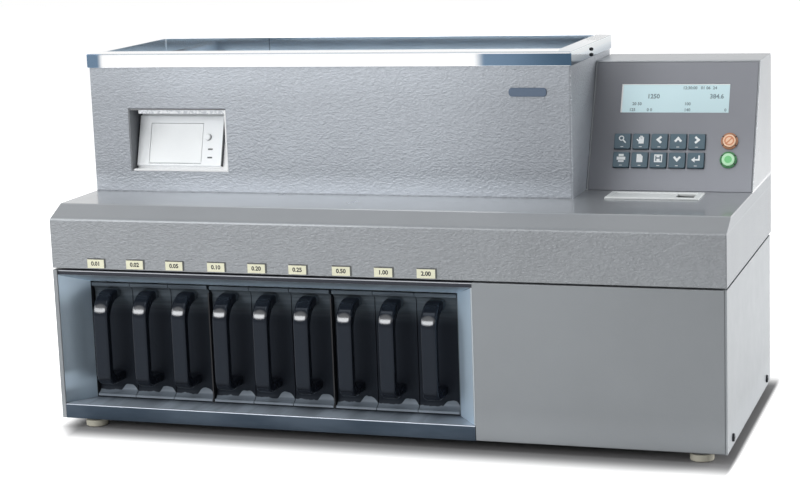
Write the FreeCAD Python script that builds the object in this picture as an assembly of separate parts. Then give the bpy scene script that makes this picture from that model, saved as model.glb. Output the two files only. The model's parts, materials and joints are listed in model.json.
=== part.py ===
import FreeCAD, Part
import math
import os

V = FreeCAD.Vector

# Coin sorting machine: a hinged lid with hopper, printer and console over a
# lower case with nine pull-out coin boxes.  Millimetres, X to the right, Y to
# the rear, Z up, origin on the floor under the middle of the machine.

# Case
case_width = 780.0
lid_depth = 328.0
rear_step = 8.0
seam_gap = 2.0
band_height = 57.0
chamfer_run = 30.0
chamfer_rise = 14.0
sheet = 2.0
bend_radius = 2.5
fit = 0.2
front_return = 5.0
flange = 12.0
pan_lip = 15.0

# Feet, case screws and lid bumpers
foot_height = 11.0
foot_diameter = 26.0
foot_collar_height = 3.0
foot_collar_diameter = 19.0
foot_inset_left = 36.0
foot_inset_right = 30.0
foot_setback = 17.0
foot_edge_radius = 1.8
screw_head_diameter = 9.0
screw_head_height = 2.2
screw_shank_diameter = 4.0
screw_height = 10.0
screw_setback = 34.0
screw_length = 7.0
screw_cross = 5.0
screw_cross_width = 1.0
bumper_diameter = 8.0
bumper_play = 0.3

# Coin boxes and their bay
box_count = 9
boxes_per_group = 3
box_width = 48.2
box_height = 138.0
box_depth = 230.0
box_wall = 2.5
box_gap = 0.9
box_lift = 0.4
divider = 1.5
divider_height = 130.0
bay_inset = 29.0
bay_recess = 36.0
bay_splay = 26.0
bay_top_gap = 1.6
bay_top_rise = 14.0
bay_lip = 6.0
bay_floor_height = 17.0
bay_sheet = 1.5
bay_rear_gap = 4.0
scoop_radius = 8.0
scoop_lip = 4.0
handle_width = 18.2
handle_reach = 32.0
handle_bottom = 20.5
handle_top = 130.5
handle_thickness = 11.0
handle_top_radius = 28.0
handle_bottom_radius = 16.0
handle_edge_radius = 3.0
tray_bar_width = 20.0

# Sorting deck, rail and transport belt
rail_width = 50.0
rail_thickness = 5.0
rail_height = 12.0
rail_leg = 4.0
fence_height = 4.0
slot_smallest = 17.0
slot_growth = 1.4
slot_depth = 30.0
coin_gap = 2.4
belt_thickness = 1.5
belt_width = 8.0
pulley_radius = 13.0
pulley_flange_radius = 15.0
pulley_flange = 1.5
pulley_shaft_radius = 3.0
running_gap = 0.3
shaft_gap = 0.05
sensor_length = 24.0
sensor_height = 50.0

# Feed disc and its drive
disc_inset = 103.0
disc_overlap = 10.0
disc_rear_gap = 13.5
disc_radius = 80.0
disc_thickness = 5.5
disc_lift = 0.5
disc_cone_radius = 22.0
disc_cone_height = 14.0
disc_cone_tip_radius = 7.3
disc_spindle_radius = 5.0
bowl_wall = 6.0
bowl_height = 53.0
motor_radius = 36.0
motor_length = 90.0
motor_flange = 4.0

# Hopper, funnel and feed belt
console_width = 190.0
hopper_setback = 119.5
hopper_height = 148.5
hopper_wall = 1.5
hopper_rear_gap = 5.0
rim_height = 16.0
rim_rise = 2.0
rim_width = 16.0
rim_overhang = 1.4
rim_sheet = 1.2
funnel_drop = 5.0
feed_width = 85.0
feed_rear_gap = 10.0
feed_belt_thickness = 2.0
feed_clearance = 3.0
roller_radius = 18.0
roller_shaft_radius = 5.0
roller_base = 6.0
roller_left_inset = 36.0
roller_right_inset = 27.0
chute_reach = 62.0
chute_drop = 30.0

# Console
console_setback = 183.0
console_height = 141.5
console_tilt = 24.4
panel_thickness = 3.0
display_width = 124.0
display_height = 34.0
display_low = 93.0
display_border = 6.0
display_depth = 10.0
display_sink = 0.6
key_width = 18.7
key_height = 18.0
key_pitch = 21.4
key_row_pitch = 22.0
key_first = 38.4
key_low = 35.9
key_columns = 5
key_rows = 2
key_travel = 1.8
key_proud = 0.8
key_radius = 2.0
key_skirt = 1.2
key_skirt_thickness = 1.5
button_radius = 7.4
button_inset = 29.5
button_low = 37.2
button_proud = 1.4
collar_width = 1.8
collar_rise = 1.6
tray_width = 105.5
tray_depth = 42.6
tray_gap = 15.4
tray_right_inset = 50.5
tray_rise = 2.0
tray_rim = 5.0
tray_sink = 2.0
tray_hollow = 0.9
tray_wall = 1.5
tray_window = 22.0

# Ticket printer
pocket_width = 126.0
pocket_height = 75.0
pocket_left = 48.0
pocket_low = 25.0
pocket_depth = 32.0
pocket_wall = 1.8
printer_tilt = 17.5
printer_width = 110.5
printer_height = 60.5
printer_bezel = 4.0
printer_body_depth = 12.0
printer_setback = 9.0
printer_right = 12.2
printer_low = 5.4
door_width = 67.0
door_height = 48.0
door_thickness = 3.0
door_left = 16.0
door_low = 3.0
door_gap = 0.5
door_pin_radius = 1.0
door_pin_length = 3.0
feed_button_radius = 4.0
feed_button_right = 19.9
feed_button_low = 34.7
feed_button_travel = 1.2
feed_button_proud = 0.4

# Labels above the boxes
label_width = 21.0
label_height = 10.0
label_thickness = 0.8
label_shift = 2.0
label_low = 1.4

# Rear: lid hinges, mains inlet and air slots
hinge_spread = 250.0
hinge_length = 60.0
knuckle_radius = 3.5
hinge_pin_radius = 1.5
leaf_thickness = 1.5
leaf_height = 32.0
inlet_inset = 90.0
inlet_height = 62.0
inlet_width = 31.0
inlet_tall = 60.0
inlet_flange = 2.5
inlet_body_depth = 30.0
inlet_margin = 2.5
socket_width = 24.0
socket_tall = 16.5
socket_depth = 17.0
pin_pitch = 7.0
pin_width = 2.0
pin_height = 4.0
pin_stagger = 2.0
pin_recess = 4.0
rocker_radius = 9.3
rocker_width = 12.4
rocker_angle = 10.0
rocker_half_arc = 60.0
rocker_pin_radius = 1.5
slot_count = 12
air_slot_width = 3.0
air_slot_height = 60.0
air_slot_pitch = 9.0

# Electronics in the right-hand compartment
supply_share = 0.44
works_gap = 20.0
supply_depth = 150.0
supply_height = 48.0
board_depth = 150.0
board_thickness = 1.6
standoff_height = 8.0
standoff_radius = 4.0
chip_count = 3
chip_size = 20.0

# Levels and planes that follow from the sizes above
half_width = case_width / 2
front_y = label_thickness - (lid_depth + label_thickness) / 2
back_y = front_y + lid_depth
case_back = back_y - rear_step
case_low = foot_height
lower_height = bay_floor_height + box_lift + box_height + bay_top_gap + bay_top_rise + bay_lip
case_top = case_low + lower_height
lid_low = case_top + seam_gap
band_top = lid_low + band_height
ledge_z = band_top + chamfer_rise
inner_half = half_width - sheet - fit

bay_floor = case_low + bay_floor_height
bay_left = bay_inset - half_width
group_count = math.ceil(box_count / boxes_per_group)
bay_width = box_count * box_width + (box_count + group_count) * box_gap + (group_count - 1) * divider
bay_right = bay_left + bay_width
box_low = bay_floor + box_lift
box_front = front_y + bay_recess
bay_back = box_front + box_depth + bay_rear_gap
bay_top = box_low + box_height + bay_top_gap
deck_low = bay_top + bay_sheet + fit
deck_top = deck_low + sheet
panel_left = bay_right + bay_splay + bay_sheet + fit

rail_top = deck_top + rail_height
disc_x = half_width - disc_inset
bowl_radius = disc_radius + disc_lift + bowl_wall
disc_y = case_back - disc_rear_gap - bowl_radius
rail_y = disc_y - disc_radius + disc_overlap
rail_left = bay_left
rail_right = disc_x - bowl_radius - fit
pulley_z = rail_top + coin_gap + belt_thickness + running_gap + pulley_radius
drive_pulley_x = rail_right - 2 * pulley_radius
idler_pulley_x = rail_left + 2 * pulley_radius

works_room = inner_half - bay_right - bay_sheet - 3 * works_gap
supply_width = works_room * supply_share
board_width = works_room - supply_width

console_left = half_width - console_width
hopper_left = rim_overhang - half_width
hopper_right = console_left - fit
hopper_front = front_y + hopper_setback
hopper_back = back_y - hopper_rear_gap
rim_low = ledge_z + hopper_height
rim_top = rim_low + rim_height
hopper_top = rim_top - 2 * rim_sheet
feed_back = hopper_back - feed_rear_gap
feed_front = feed_back - feed_width
roller_z = ledge_z + roller_base + feed_belt_thickness + running_gap + roller_radius
feed_top = roller_z + roller_radius + running_gap + feed_belt_thickness
roller_left_x = hopper_left + roller_left_inset
roller_right_x = hopper_right - roller_right_inset

console_front = front_y + console_setback
console_top = ledge_z + console_height
key_rise = key_travel + key_proud
button_rise = key_travel + button_proud
panel_length = console_height / math.cos(math.radians(console_tilt))
console_middle = half_width - console_width / 2

pocket_x = hopper_left + pocket_left
pocket_z = ledge_z + pocket_low
printer_x = pocket_x + pocket_width - printer_right - printer_width
printer_y = hopper_front + printer_setback
printer_z = pocket_z + printer_low
feed_button_rise = feed_button_travel + feed_button_proud

hinge_y = case_back + knuckle_radius + fit
hinge_z = lid_low - seam_gap / 2
inlet_x = half_width - inlet_inset
inlet_z = case_low + inlet_height


def block(x0, x1, y0, y1, z0, z1):
    """Box between two corners."""
    return Part.makeBox(x1 - x0, y1 - y0, z1 - z0, V(x0, y0, z0))


def rod(radius, start, end):
    """Round bar from one point to another."""
    along = V(*end) - V(*start)
    return Part.makeCylinder(radius, along.Length, V(*start), along)


def prism_x(outline, x0, x1):
    """Outline of y and z pairs, drawn out along X."""
    corners = [V(x0, y, z) for y, z in outline]
    return Part.Face(Part.makePolygon(corners + corners[:1])).extrude(V(x1 - x0, 0, 0))


def prism_y(outline, y0, y1):
    """Outline of x and z pairs, drawn out along Y."""
    corners = [V(x, y0, z) for x, z in outline]
    return Part.Face(Part.makePolygon(corners + corners[:1])).extrude(V(0, y1 - y0, 0))


def taper(lower, upper):
    """Solid between two four-cornered outlines."""
    wires = []
    for corners in (lower, upper):
        points = [V(*corner) for corner in corners]
        wires.append(Part.makePolygon(points + points[:1]))
    return Part.makeLoft(wires, True, True)


def level(x0, x1, y0, y1, z):
    """Corners of a level rectangle."""
    return [(x0, y0, z), (x1, y0, z), (x1, y1, z), (x0, y1, z)]


def upright(x0, x1, z0, z1, y):
    """Corners of a rectangle that stands across the depth."""
    return [(x0, y, z0), (x1, y, z0), (x1, y, z1), (x0, y, z1)]


def joined(first, *others):
    """One solid from pieces that touch or overlap."""
    shape = first
    for other in others:
        shape = shape.fuse(other)
    return shape.removeSplitter()


def rounded(shape, radius, chosen):
    """Round the straight edges whose middle point passes the test."""
    edges = [edge for edge in shape.Edges if chosen(edge.CenterOfMass)]
    return shape.makeFillet(radius, edges)


def near(first, second):
    """Whether two measures are the same."""
    return abs(first - second) < 0.01


def loop_belt(x0, x1, y0, y1, z, inner_radius, thickness):
    """Flat endless belt round two shafts that lie along Y."""
    shape = None
    for radius in (inner_radius + thickness, inner_radius):
        stadium = joined(
            block(x0, x1, y0, y1, z - radius, z + radius),
            rod(radius, (x0, y0, z), (x0, y1, z)),
            rod(radius, (x1, y0, z), (x1, y1, z)),
        )
        shape = stadium if shape is None else shape.cut(stadium)
    return shape


def leaned(shape, tilt, y, z):
    """Lean a piece drawn on an upright face back, and set the face's foot at y and z."""
    shape = shape.copy()
    shape.rotate(V(0, 0, 0), V(1, 0, 0), -tilt)
    shape.translate(V(0, y, z))
    return shape


def on_panel(shape):
    return leaned(shape, console_tilt, console_front, ledge_z)


def on_printer(shape):
    return leaned(shape, printer_tilt, printer_y, printer_z)


def box_left(index):
    """Left face of a coin box, counted from zero at the left."""
    groups_before = index // boxes_per_group
    return bay_left + box_gap + index * (box_width + box_gap) + groups_before * (divider + box_gap)


def box_middle(index):
    return box_left(index) + box_width / 2


def side_screw_places():
    """Seat, on the outside of a side wall, and outward direction of each case screw."""
    z = case_low + screw_height
    for side in (-1, 1):
        for y in (front_y + screw_setback, case_back - screw_setback):
            yield V(side * half_width, y, z), V(side, 0, 0)


# Lower case

def make_base_pan():
    """Floor pan with turned-up sides and two bars that carry the bay tray."""
    front = front_y + sheet + fit
    back = case_back - sheet - fit
    pan = block(-inner_half, inner_half, front, back, case_low, case_low + pan_lip)
    pan = pan.cut(block(sheet - inner_half, inner_half - sheet, front - 1, back - sheet,
                        case_low + sheet, case_low + pan_lip + 1))
    bar_top = bay_floor - sheet
    for y in (box_front + tray_bar_width, bay_back - 2 * tray_bar_width):
        bar = block(sheet - inner_half, bay_right, y, y + tray_bar_width, case_low + sheet, bar_top)
        pan = pan.fuse(bar)
    for seat, outward in side_screw_places():
        hole = Part.makeCylinder(screw_shank_diameter / 2 + fit, 3 * screw_length,
                                 seat + outward * screw_length, -outward)
        pan = pan.cut(hole)
    return pan.removeSplitter()


def make_case_wrap():
    """Left side, rear and right side of the lower case, folded from one sheet."""
    wrap = block(-half_width, half_width, front_y, case_back, case_low, case_top)
    wrap = rounded(wrap, bend_radius, lambda p: near(p.y, case_back) and near(abs(p.x), half_width))
    wrap = wrap.cut(block(sheet - half_width, half_width - sheet, front_y - 1, case_back - sheet,
                          case_low - 1, case_top + 1))
    wrap = wrap.fuse(block(-half_width, front_return - half_width, front_y, front_y + sheet,
                           case_low, case_top))
    rear = (case_back - sheet - 1, case_back + 1)
    half_cut = inlet_width / 2 - inlet_margin + fit
    tall_cut = inlet_tall / 2 - inlet_margin + fit
    wrap = wrap.cut(block(inlet_x - half_cut, inlet_x + half_cut, *rear,
                          inlet_z - tall_cut, inlet_z + tall_cut))
    for index in range(slot_count):
        x = inlet_x - inlet_width - index * air_slot_pitch
        wrap = wrap.cut(block(x - air_slot_width, x, *rear, inlet_z, inlet_z + air_slot_height))
    for seat, outward in side_screw_places():
        wrap = wrap.cut(Part.makeCylinder(screw_shank_diameter / 2 + fit, 3 * sheet,
                                          seat + outward * sheet, -outward))
    return wrap.removeSplitter()


def make_lower_front_panel():
    """Plain front of the drive compartment, its sides and top folded back above the pan."""
    right = half_width - sheet - fit
    panel = block(panel_left, right, front_y, front_y + flange, case_low, case_top)
    panel = rounded(panel, bend_radius / 2, lambda p: near(p.y, front_y))
    panel = panel.cut(block(panel_left + sheet, right - sheet, front_y + sheet, front_y + flange + 1,
                            case_low - 1, case_top - sheet))
    return panel.cut(block(panel_left - 1, right + 1, front_y + sheet, front_y + flange + 1,
                           case_low - 1, case_low + pan_lip + fit))


def make_bay_tray():
    """Polished sill and floor of the bay with its side and rear walls and dividers."""
    floor_left = front_return - half_width + fit
    floor_right = panel_left - fit
    tray = block(floor_left, floor_right, front_y, front_y + sheet, case_low, bay_floor)
    tray = tray.fuse(block(floor_left, floor_right, front_y, box_front, bay_floor - sheet, bay_floor))
    tray = rounded(joined(tray), bend_radius / 2, lambda p: near(p.y, front_y) and near(p.z, bay_floor))
    wall_left = bay_left - bay_sheet
    wall_right = bay_right + bay_sheet
    wall_front = box_front + fit
    back = bay_back + bay_sheet
    tray = tray.fuse(block(wall_left, wall_right, front_y + bay_recess / 2, back, bay_floor - sheet, bay_floor))
    tray = tray.fuse(block(wall_left, bay_left, wall_front, back, bay_floor - sheet, deck_low))
    tray = tray.fuse(block(bay_right, wall_right, wall_front, back, bay_floor - sheet, deck_low))
    tray = tray.fuse(block(wall_left, wall_right, bay_back, back, bay_floor - sheet, deck_low))
    for group in range(1, group_count):
        x = box_left(group * boxes_per_group) - box_gap - divider
        tray = tray.fuse(block(x, x + divider, wall_front, bay_back + bay_sheet / 2,
                               bay_floor - sheet / 2, bay_floor + divider_height))
    return tray.removeSplitter()


def make_bay_surround():
    """Splayed frame round the bay's mouth: left, top and right faces and a lip on top."""
    mouth_left = sheet + fit + bay_sheet - half_width
    mouth_right = bay_right + bay_splay
    mouth_top = bay_top + bay_top_rise
    mouth_y = front_y + sheet + fit
    inner = taper(upright(mouth_left, mouth_right, bay_floor, mouth_top, mouth_y),
                  upright(bay_left, bay_right, bay_floor, bay_top, box_front))
    outer = taper(upright(mouth_left - bay_sheet, mouth_right + bay_sheet, bay_floor,
                          mouth_top + bay_sheet, mouth_y),
                  upright(bay_left - bay_sheet, bay_right + bay_sheet, bay_floor,
                          bay_top + bay_sheet, box_front))
    lip = block(mouth_left - bay_sheet, mouth_right + bay_sheet, mouth_y, mouth_y + flange,
                mouth_top, case_top)
    lip = lip.cut(block(mouth_left - bay_sheet - 1, mouth_right + bay_sheet + 1, mouth_y + bay_sheet,
                        mouth_y + flange + 1, mouth_top - 1, case_top - bay_sheet))
    return joined(outer.cut(inner), lip.cut(inner))


def make_deck_plate():
    """Plate over the boxes with a drop slot for each and a hole for the disc drive."""
    back = case_back - sheet - fit
    front = box_front + fit
    deck = block(-inner_half, inner_half, front, back, deck_low, deck_top)
    for side in (-1, 1):
        edge = side * (inner_half - sheet / 2)
        deck = deck.fuse(block(edge - sheet / 2, edge + sheet / 2, front, back, deck_low - flange, deck_low))
    for index in range(box_count):
        half = slot_width(index) / 2 + 1
        x = box_middle(index)
        deck = deck.cut(block(x - half, x + half, rail_y - slot_depth / 2 - 1, rail_y + slot_depth / 2 + 1,
                              deck_low - 1, deck_top + 1))
    deck = deck.cut(rod(disc_spindle_radius * 2, (disc_x, disc_y, deck_low - 1), (disc_x, disc_y, deck_top + 1)))
    return deck.removeSplitter()


def make_feet():
    """Four rubber feet with a narrower collar under the pan."""
    feet = []
    pad_top = foot_height - foot_collar_height
    for x in (foot_inset_left - half_width, half_width - foot_inset_right):
        for y in (front_y + foot_setback, case_back - foot_setback):
            pad = rod(foot_diameter / 2, (x, y, 0), (x, y, pad_top))
            pad = pad.makeFillet(foot_edge_radius, pad.Edges[:1] + pad.Edges[2:3])
            collar = rod(foot_collar_diameter / 2, (x, y, pad_top), (x, y, foot_height))
            feet.append(joined(pad, collar))
    return Part.makeCompound(feet)


def make_case_screws():
    """Pan-head screws through the side walls into the floor pan."""
    screws = []
    for seat, outward in side_screw_places():
        head = Part.makeCylinder(screw_head_diameter / 2, screw_head_height, seat, outward)
        outer_edges = [e for e in head.Edges if near(abs(e.CenterOfMass.x), half_width + screw_head_height)]
        head = head.makeFillet(screw_head_height / 2, outer_edges)
        shank = Part.makeCylinder(screw_shank_diameter / 2, screw_length, seat, -outward)
        depth = screw_head_height / 2
        face = seat + outward * (screw_head_height - depth)
        x0 = min(face.x, face.x + outward.x * 2 * depth)
        for tall, deep in ((screw_cross, screw_cross_width), (screw_cross_width, screw_cross)):
            head = head.cut(block(x0, x0 + 2 * depth, face.y - deep / 2, face.y + deep / 2,
                                  face.z - tall / 2, face.z + tall / 2))
        screws.append(joined(head, shank))
    return Part.makeCompound(screws)


def make_lid_bumpers():
    """Rubber pads on the top front edge of the case that the lid comes down on."""
    middle = front_y + sheet + fit + flange / 2
    inset = flange + bumper_diameter
    places = (bay_left, (bay_left + bay_right) / 2, panel_left + inset, half_width - inset)
    low = case_top
    high = lid_low - bumper_play
    return Part.makeCompound([rod(bumper_diameter / 2, (x, middle, low), (x, middle, high)) for x in places])


# Coin boxes

def make_coin_box():
    """Open-topped box with a scooped front and a moulded D handle, its left face at x = 0."""
    tub = block(0, box_width, 0, box_depth, 0, box_height)
    inside_front = scoop_radius + box_wall
    tub = tub.cut(block(box_wall, box_width - box_wall, inside_front, box_depth - box_wall,
                        box_wall, box_height + 1))
    top_low = box_height - scoop_lip - scoop_radius
    low_high = scoop_lip + scoop_radius
    scoop = block(-1, box_width + 1, 0, scoop_radius, low_high, top_low)
    for z in (low_high, top_low):
        scoop = scoop.fuse(rod(scoop_radius, (-1, 0, z), (box_width + 1, 0, z)))
    tub = tub.cut(scoop)
    handle = make_handle()
    handle.translate(V(box_width / 2, 0, 0))
    return joined(tub, handle)


def handle_outline(front, back, low, high, low_radius, high_radius):
    """Face of a D in the y and z plane, rounded at its two front corners."""
    turn = math.sqrt(0.5)
    lower = V(0, front + low_radius, low + low_radius)
    upper = V(0, front + high_radius, high - high_radius)
    edges = [
        Part.LineSegment(V(0, back, high), V(0, upper.y, high)),
        Part.Arc(V(0, upper.y, high), upper + V(0, -turn, turn) * high_radius, V(0, front, upper.z)),
        Part.LineSegment(V(0, front, upper.z), V(0, front, lower.z)),
        Part.Arc(V(0, front, lower.z), lower + V(0, -turn, -turn) * low_radius, V(0, lower.y, low)),
        Part.LineSegment(V(0, lower.y, low), V(0, back, low)),
        Part.LineSegment(V(0, back, low), V(0, back, high)),
    ]
    return Part.Face(Part.Wire([edge.toShape() for edge in edges]))


def make_handle():
    """D handle that stands on the box front, middle at x = 0."""
    back = scoop_radius
    front = -handle_reach
    outer = handle_outline(front, back, handle_bottom, handle_top, handle_bottom_radius, handle_top_radius)
    inner = handle_outline(front + handle_thickness, back, handle_bottom + handle_thickness,
                           handle_top - handle_thickness, handle_bottom_radius - handle_thickness / 2,
                           handle_top_radius - handle_thickness / 2)
    bar = outer.cut(inner).extrude(V(handle_width, 0, 0))
    bar.translate(V(-handle_width / 2, 0, 0))
    return rounded(bar, handle_edge_radius,
                   lambda p: near(abs(p.x), handle_width / 2) and p.y < back - 0.1)


# Sorting deck

def slot_width(index):
    """Drop slots grow from the feed end at the right to the far end at the left."""
    return slot_smallest + slot_growth * (box_count - 1 - index)


def make_sort_rail():
    """Channel with graded drop slots, a front fence and a post with the idler's stub shaft."""
    front = rail_y - rail_width / 2
    back = rail_y + rail_width / 2
    rail = block(rail_left, rail_right, front, back, deck_top, rail_top)
    rail = rail.cut(block(rail_left - 1, rail_right + 1, front + rail_leg, back - rail_leg,
                          deck_top - 1, rail_top - rail_thickness))
    rail = rail.fuse(block(rail_left, rail_right, front, front + rail_leg, rail_top, rail_top + fence_height))
    for index in range(box_count):
        half = slot_width(index) / 2
        x = box_middle(index)
        rail = rail.cut(block(x - half, x + half, rail_y - slot_depth / 2, rail_y + slot_depth / 2,
                              deck_top, rail_top + 1))
    post_half = pulley_shaft_radius * 2
    post = block(idler_pulley_x - post_half, idler_pulley_x + post_half, back - rail_leg, back,
                 rail_top, pulley_z + post_half)
    stub = rod(pulley_shaft_radius, (idler_pulley_x, rail_y - belt_width, pulley_z),
               (idler_pulley_x, back - rail_leg / 2, pulley_z))
    return joined(rail, post, stub)


def make_transport_belt():
    """Flat belt that carries the coins along the rail."""
    return loop_belt(idler_pulley_x, drive_pulley_x, rail_y - belt_width / 2, rail_y + belt_width / 2,
                     pulley_z, pulley_radius + running_gap, belt_thickness)


def make_pulley(x):
    """Flanged pulley on a shaft along Y."""
    half = belt_width / 2 + running_gap
    pulley = rod(pulley_radius, (x, rail_y - half, pulley_z), (x, rail_y + half, pulley_z))
    for side in (-1, 1):
        start = rail_y + side * half
        pulley = pulley.fuse(rod(pulley_flange_radius, (x, start, pulley_z),
                                 (x, start + side * pulley_flange, pulley_z)))
    return pulley.removeSplitter()


def make_idler_pulley():
    bore = rod(pulley_shaft_radius + shaft_gap, (idler_pulley_x, rail_y - rail_width, pulley_z),
               (idler_pulley_x, rail_y + rail_width, pulley_z))
    return make_pulley(idler_pulley_x).cut(bore)


def rail_motor_front():
    return rail_y + rail_width / 2 + fit


def make_drive_pulley():
    """Pulley with the shaft that runs back into its gear motor."""
    shaft = rod(pulley_shaft_radius, (drive_pulley_x, rail_y, pulley_z),
                (drive_pulley_x, rail_motor_front() + pulley_flange_radius, pulley_z))
    return joined(make_pulley(drive_pulley_x), shaft)


def make_rail_motor():
    """Gear motor on a foot beside the rail."""
    front = rail_motor_front()
    gearbox_depth = 2 * pulley_flange_radius
    half = pulley_flange_radius + 2 * sheet
    gearbox = block(drive_pulley_x - half, drive_pulley_x + half, front, front + gearbox_depth,
                    deck_top, pulley_z + half)
    can = rod(pulley_radius, (drive_pulley_x, front + gearbox_depth, pulley_z),
              (drive_pulley_x, front + 2 * gearbox_depth, pulley_z))
    bore = rod(pulley_shaft_radius + shaft_gap, (drive_pulley_x, front - 1, pulley_z),
               (drive_pulley_x, front + pulley_flange_radius + 1, pulley_z))
    return joined(gearbox, can).cut(bore)


def make_coin_sensor():
    """Bridge over the rail, ahead of the first slot, that reads each coin."""
    left = drive_pulley_x - pulley_flange_radius - 2 * sheet - sensor_length
    front = rail_y - rail_width / 2 + rail_leg + fit
    back = rail_y + rail_width / 2
    bridge = block(left, left + sensor_length, front, back, rail_top, rail_top + sensor_height)
    bridge = rounded(bridge, bend_radius, lambda p: near(p.z, rail_top + sensor_height))
    half = belt_width / 2 + 2 * sheet
    head_room = pulley_z + pulley_radius + belt_thickness + 2 * sheet
    return bridge.cut(block(left - 1, left + sensor_length + 1, rail_y - half, rail_y + half,
                            rail_top - 1, head_room))


def make_disc_bowl():
    """Round bowl that the feed disc turns in, with a level exit table to the rail."""
    floor = rail_top - disc_thickness - disc_lift
    centre = (disc_x, disc_y)
    bowl = rod(bowl_radius, (*centre, deck_top), (*centre, deck_top + bowl_height))
    exit_front = rail_y - rail_width / 2
    exit_back = rail_y + rail_width / 2
    table = block(rail_right + fit, disc_x, exit_front, exit_back, deck_top, rail_top)
    bowl = bowl.fuse(table)
    bowl = bowl.cut(rod(disc_radius + disc_lift, (*centre, floor), (*centre, deck_top + bowl_height + 1)))
    bowl = bowl.cut(block(rail_right - 1, disc_x, exit_front + rail_leg, exit_back,
                          rail_top, deck_top + bowl_height + 1))
    bowl = bowl.cut(rod(disc_spindle_radius + shaft_gap, (*centre, deck_top - 1), (*centre, floor + 1)))
    return bowl.removeSplitter()


def make_sort_disc():
    """Feed disc with its centre cone and the spindle down into the motor."""
    low = rail_top - disc_thickness
    disc = rod(disc_radius, (disc_x, disc_y, low), (disc_x, disc_y, rail_top))
    cone = Part.makeCone(disc_cone_radius, disc_cone_tip_radius, disc_cone_height, V(disc_x, disc_y, rail_top))
    spindle = rod(disc_spindle_radius, (disc_x, disc_y, deck_low - motor_radius), (disc_x, disc_y, low))
    return joined(disc, cone, spindle)


def make_disc_motor():
    """Motor that hangs under the deck and turns the disc."""
    half = motor_radius + 2 * motor_flange
    plate = block(disc_x - half, disc_x + half, disc_y - half, disc_y + half, deck_low - motor_flange, deck_low)
    can = rod(motor_radius, (disc_x, disc_y, deck_low - motor_length), (disc_x, disc_y, deck_low - motor_flange))
    bore = rod(disc_spindle_radius + shaft_gap, (disc_x, disc_y, deck_low - motor_radius - 1),
               (disc_x, disc_y, deck_low + 1))
    return joined(plate, can).cut(bore)


def make_power_supply():
    """Caged power supply on the floor pan."""
    left = bay_right + bay_sheet + works_gap
    back = case_back - inlet_body_depth - works_gap
    low = case_low + sheet
    supply = block(left, left + supply_width, back - supply_depth, back, low, low + supply_height)
    slots = int(supply_width / air_slot_pitch) - 2
    for index in range(slots):
        x = left + (index + 1.5) * air_slot_pitch
        supply = supply.cut(block(x, x + air_slot_width, back - supply_depth + air_slot_pitch,
                                  back - air_slot_pitch, low + supply_height - sheet, low + supply_height + 1))
    return supply


def make_control_board():
    """Circuit board on standoffs with its main components."""
    left = bay_right + bay_sheet + 2 * works_gap + supply_width
    front = front_y + flange + works_gap
    low = case_low + sheet
    board_low = low + standoff_height
    board_top = board_low + board_thickness
    board = block(left, left + board_width, front, front + board_depth, board_low, board_top)
    inset = 2 * standoff_radius
    for x in (left + inset, left + board_width - inset):
        for y in (front + inset, front + board_depth - inset):
            board = board.fuse(rod(standoff_radius, (x, y, low), (x, y, board_low)))
    for index in range(chip_count):
        x = left + (index + 0.5) * board_width / chip_count - chip_size / 2
        board = board.fuse(block(x, x + chip_size, front + 2 * inset, front + 2 * inset + chip_size,
                                 board_top, board_top + standoff_height))
        board = board.fuse(rod(standoff_radius, (x, front + board_depth / 2, board_top),
                               (x, front + board_depth / 2, board_top + 2 * standoff_height)))
    return board.removeSplitter()


# Rear

def rocker_pivot():
    return case_back - sheet, inlet_z + inlet_tall / 4


def make_power_inlet():
    """Mains inlet with its pins and a round seat for the rocker above it."""
    half = inlet_width / 2
    tall = inlet_tall / 2
    face = block(inlet_x - half, inlet_x + half, case_back, case_back + inlet_flange, inlet_z - tall, inlet_z + tall)
    face = rounded(face, inlet_margin, lambda p: near(p.y, case_back + inlet_flange / 2))
    body = block(inlet_x - half + inlet_margin, inlet_x + half - inlet_margin, case_back - inlet_body_depth,
                 case_back, inlet_z - tall + inlet_margin, inlet_z + tall - inlet_margin)
    inlet = joined(face, body)
    outside = case_back + inlet_flange
    socket_z = inlet_z - tall / 2
    inlet = inlet.cut(block(inlet_x - socket_width / 2, inlet_x + socket_width / 2, outside - socket_depth,
                            outside + 1, socket_z - socket_tall / 2, socket_z + socket_tall / 2))
    for column in (-1, 0, 1):
        x = inlet_x + column * pin_pitch
        z = socket_z - (1 - 2 * abs(column)) * pin_stagger
        inlet = inlet.fuse(block(x - pin_width / 2, x + pin_width / 2, outside - socket_depth - 1,
                                 outside - pin_recess, z - pin_height / 2, z + pin_height / 2))
    pivot_y, pivot_z = rocker_pivot()
    seat_half = rocker_width / 2 + running_gap
    inlet = inlet.cut(rod(rocker_radius + running_gap, (inlet_x - seat_half, pivot_y, pivot_z),
                          (inlet_x + seat_half, pivot_y, pivot_z)))
    pin_half = rocker_width / 2 + 2 * rocker_pin_radius + running_gap
    return inlet.cut(rod(rocker_pin_radius + shaft_gap, (inlet_x - pin_half, pivot_y, pivot_z),
                         (inlet_x + pin_half, pivot_y, pivot_z)))


def make_power_switch():
    """Rocker, tipped to off, on two side pins."""
    pivot_y, pivot_z = rocker_pivot()
    reach = rocker_radius * math.cos(math.radians(rocker_half_arc))
    tall = rocker_radius * math.sin(math.radians(rocker_half_arc))
    outline = [(-reach, -tall), (reach, -tall), (reach / 2, 0), (reach, tall), (-reach, tall)]
    rocker = prism_x([(pivot_y + a, pivot_z + b) for a, b in outline],
                     inlet_x - rocker_width / 2, inlet_x + rocker_width / 2)
    rocker.rotate(V(inlet_x, pivot_y, pivot_z), V(1, 0, 0), -rocker_angle)
    pin_half = rocker_width / 2 + 2 * rocker_pin_radius
    pins = rod(rocker_pin_radius, (inlet_x - pin_half, pivot_y, pivot_z), (inlet_x + pin_half, pivot_y, pivot_z))
    return joined(rocker, pins)


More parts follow.
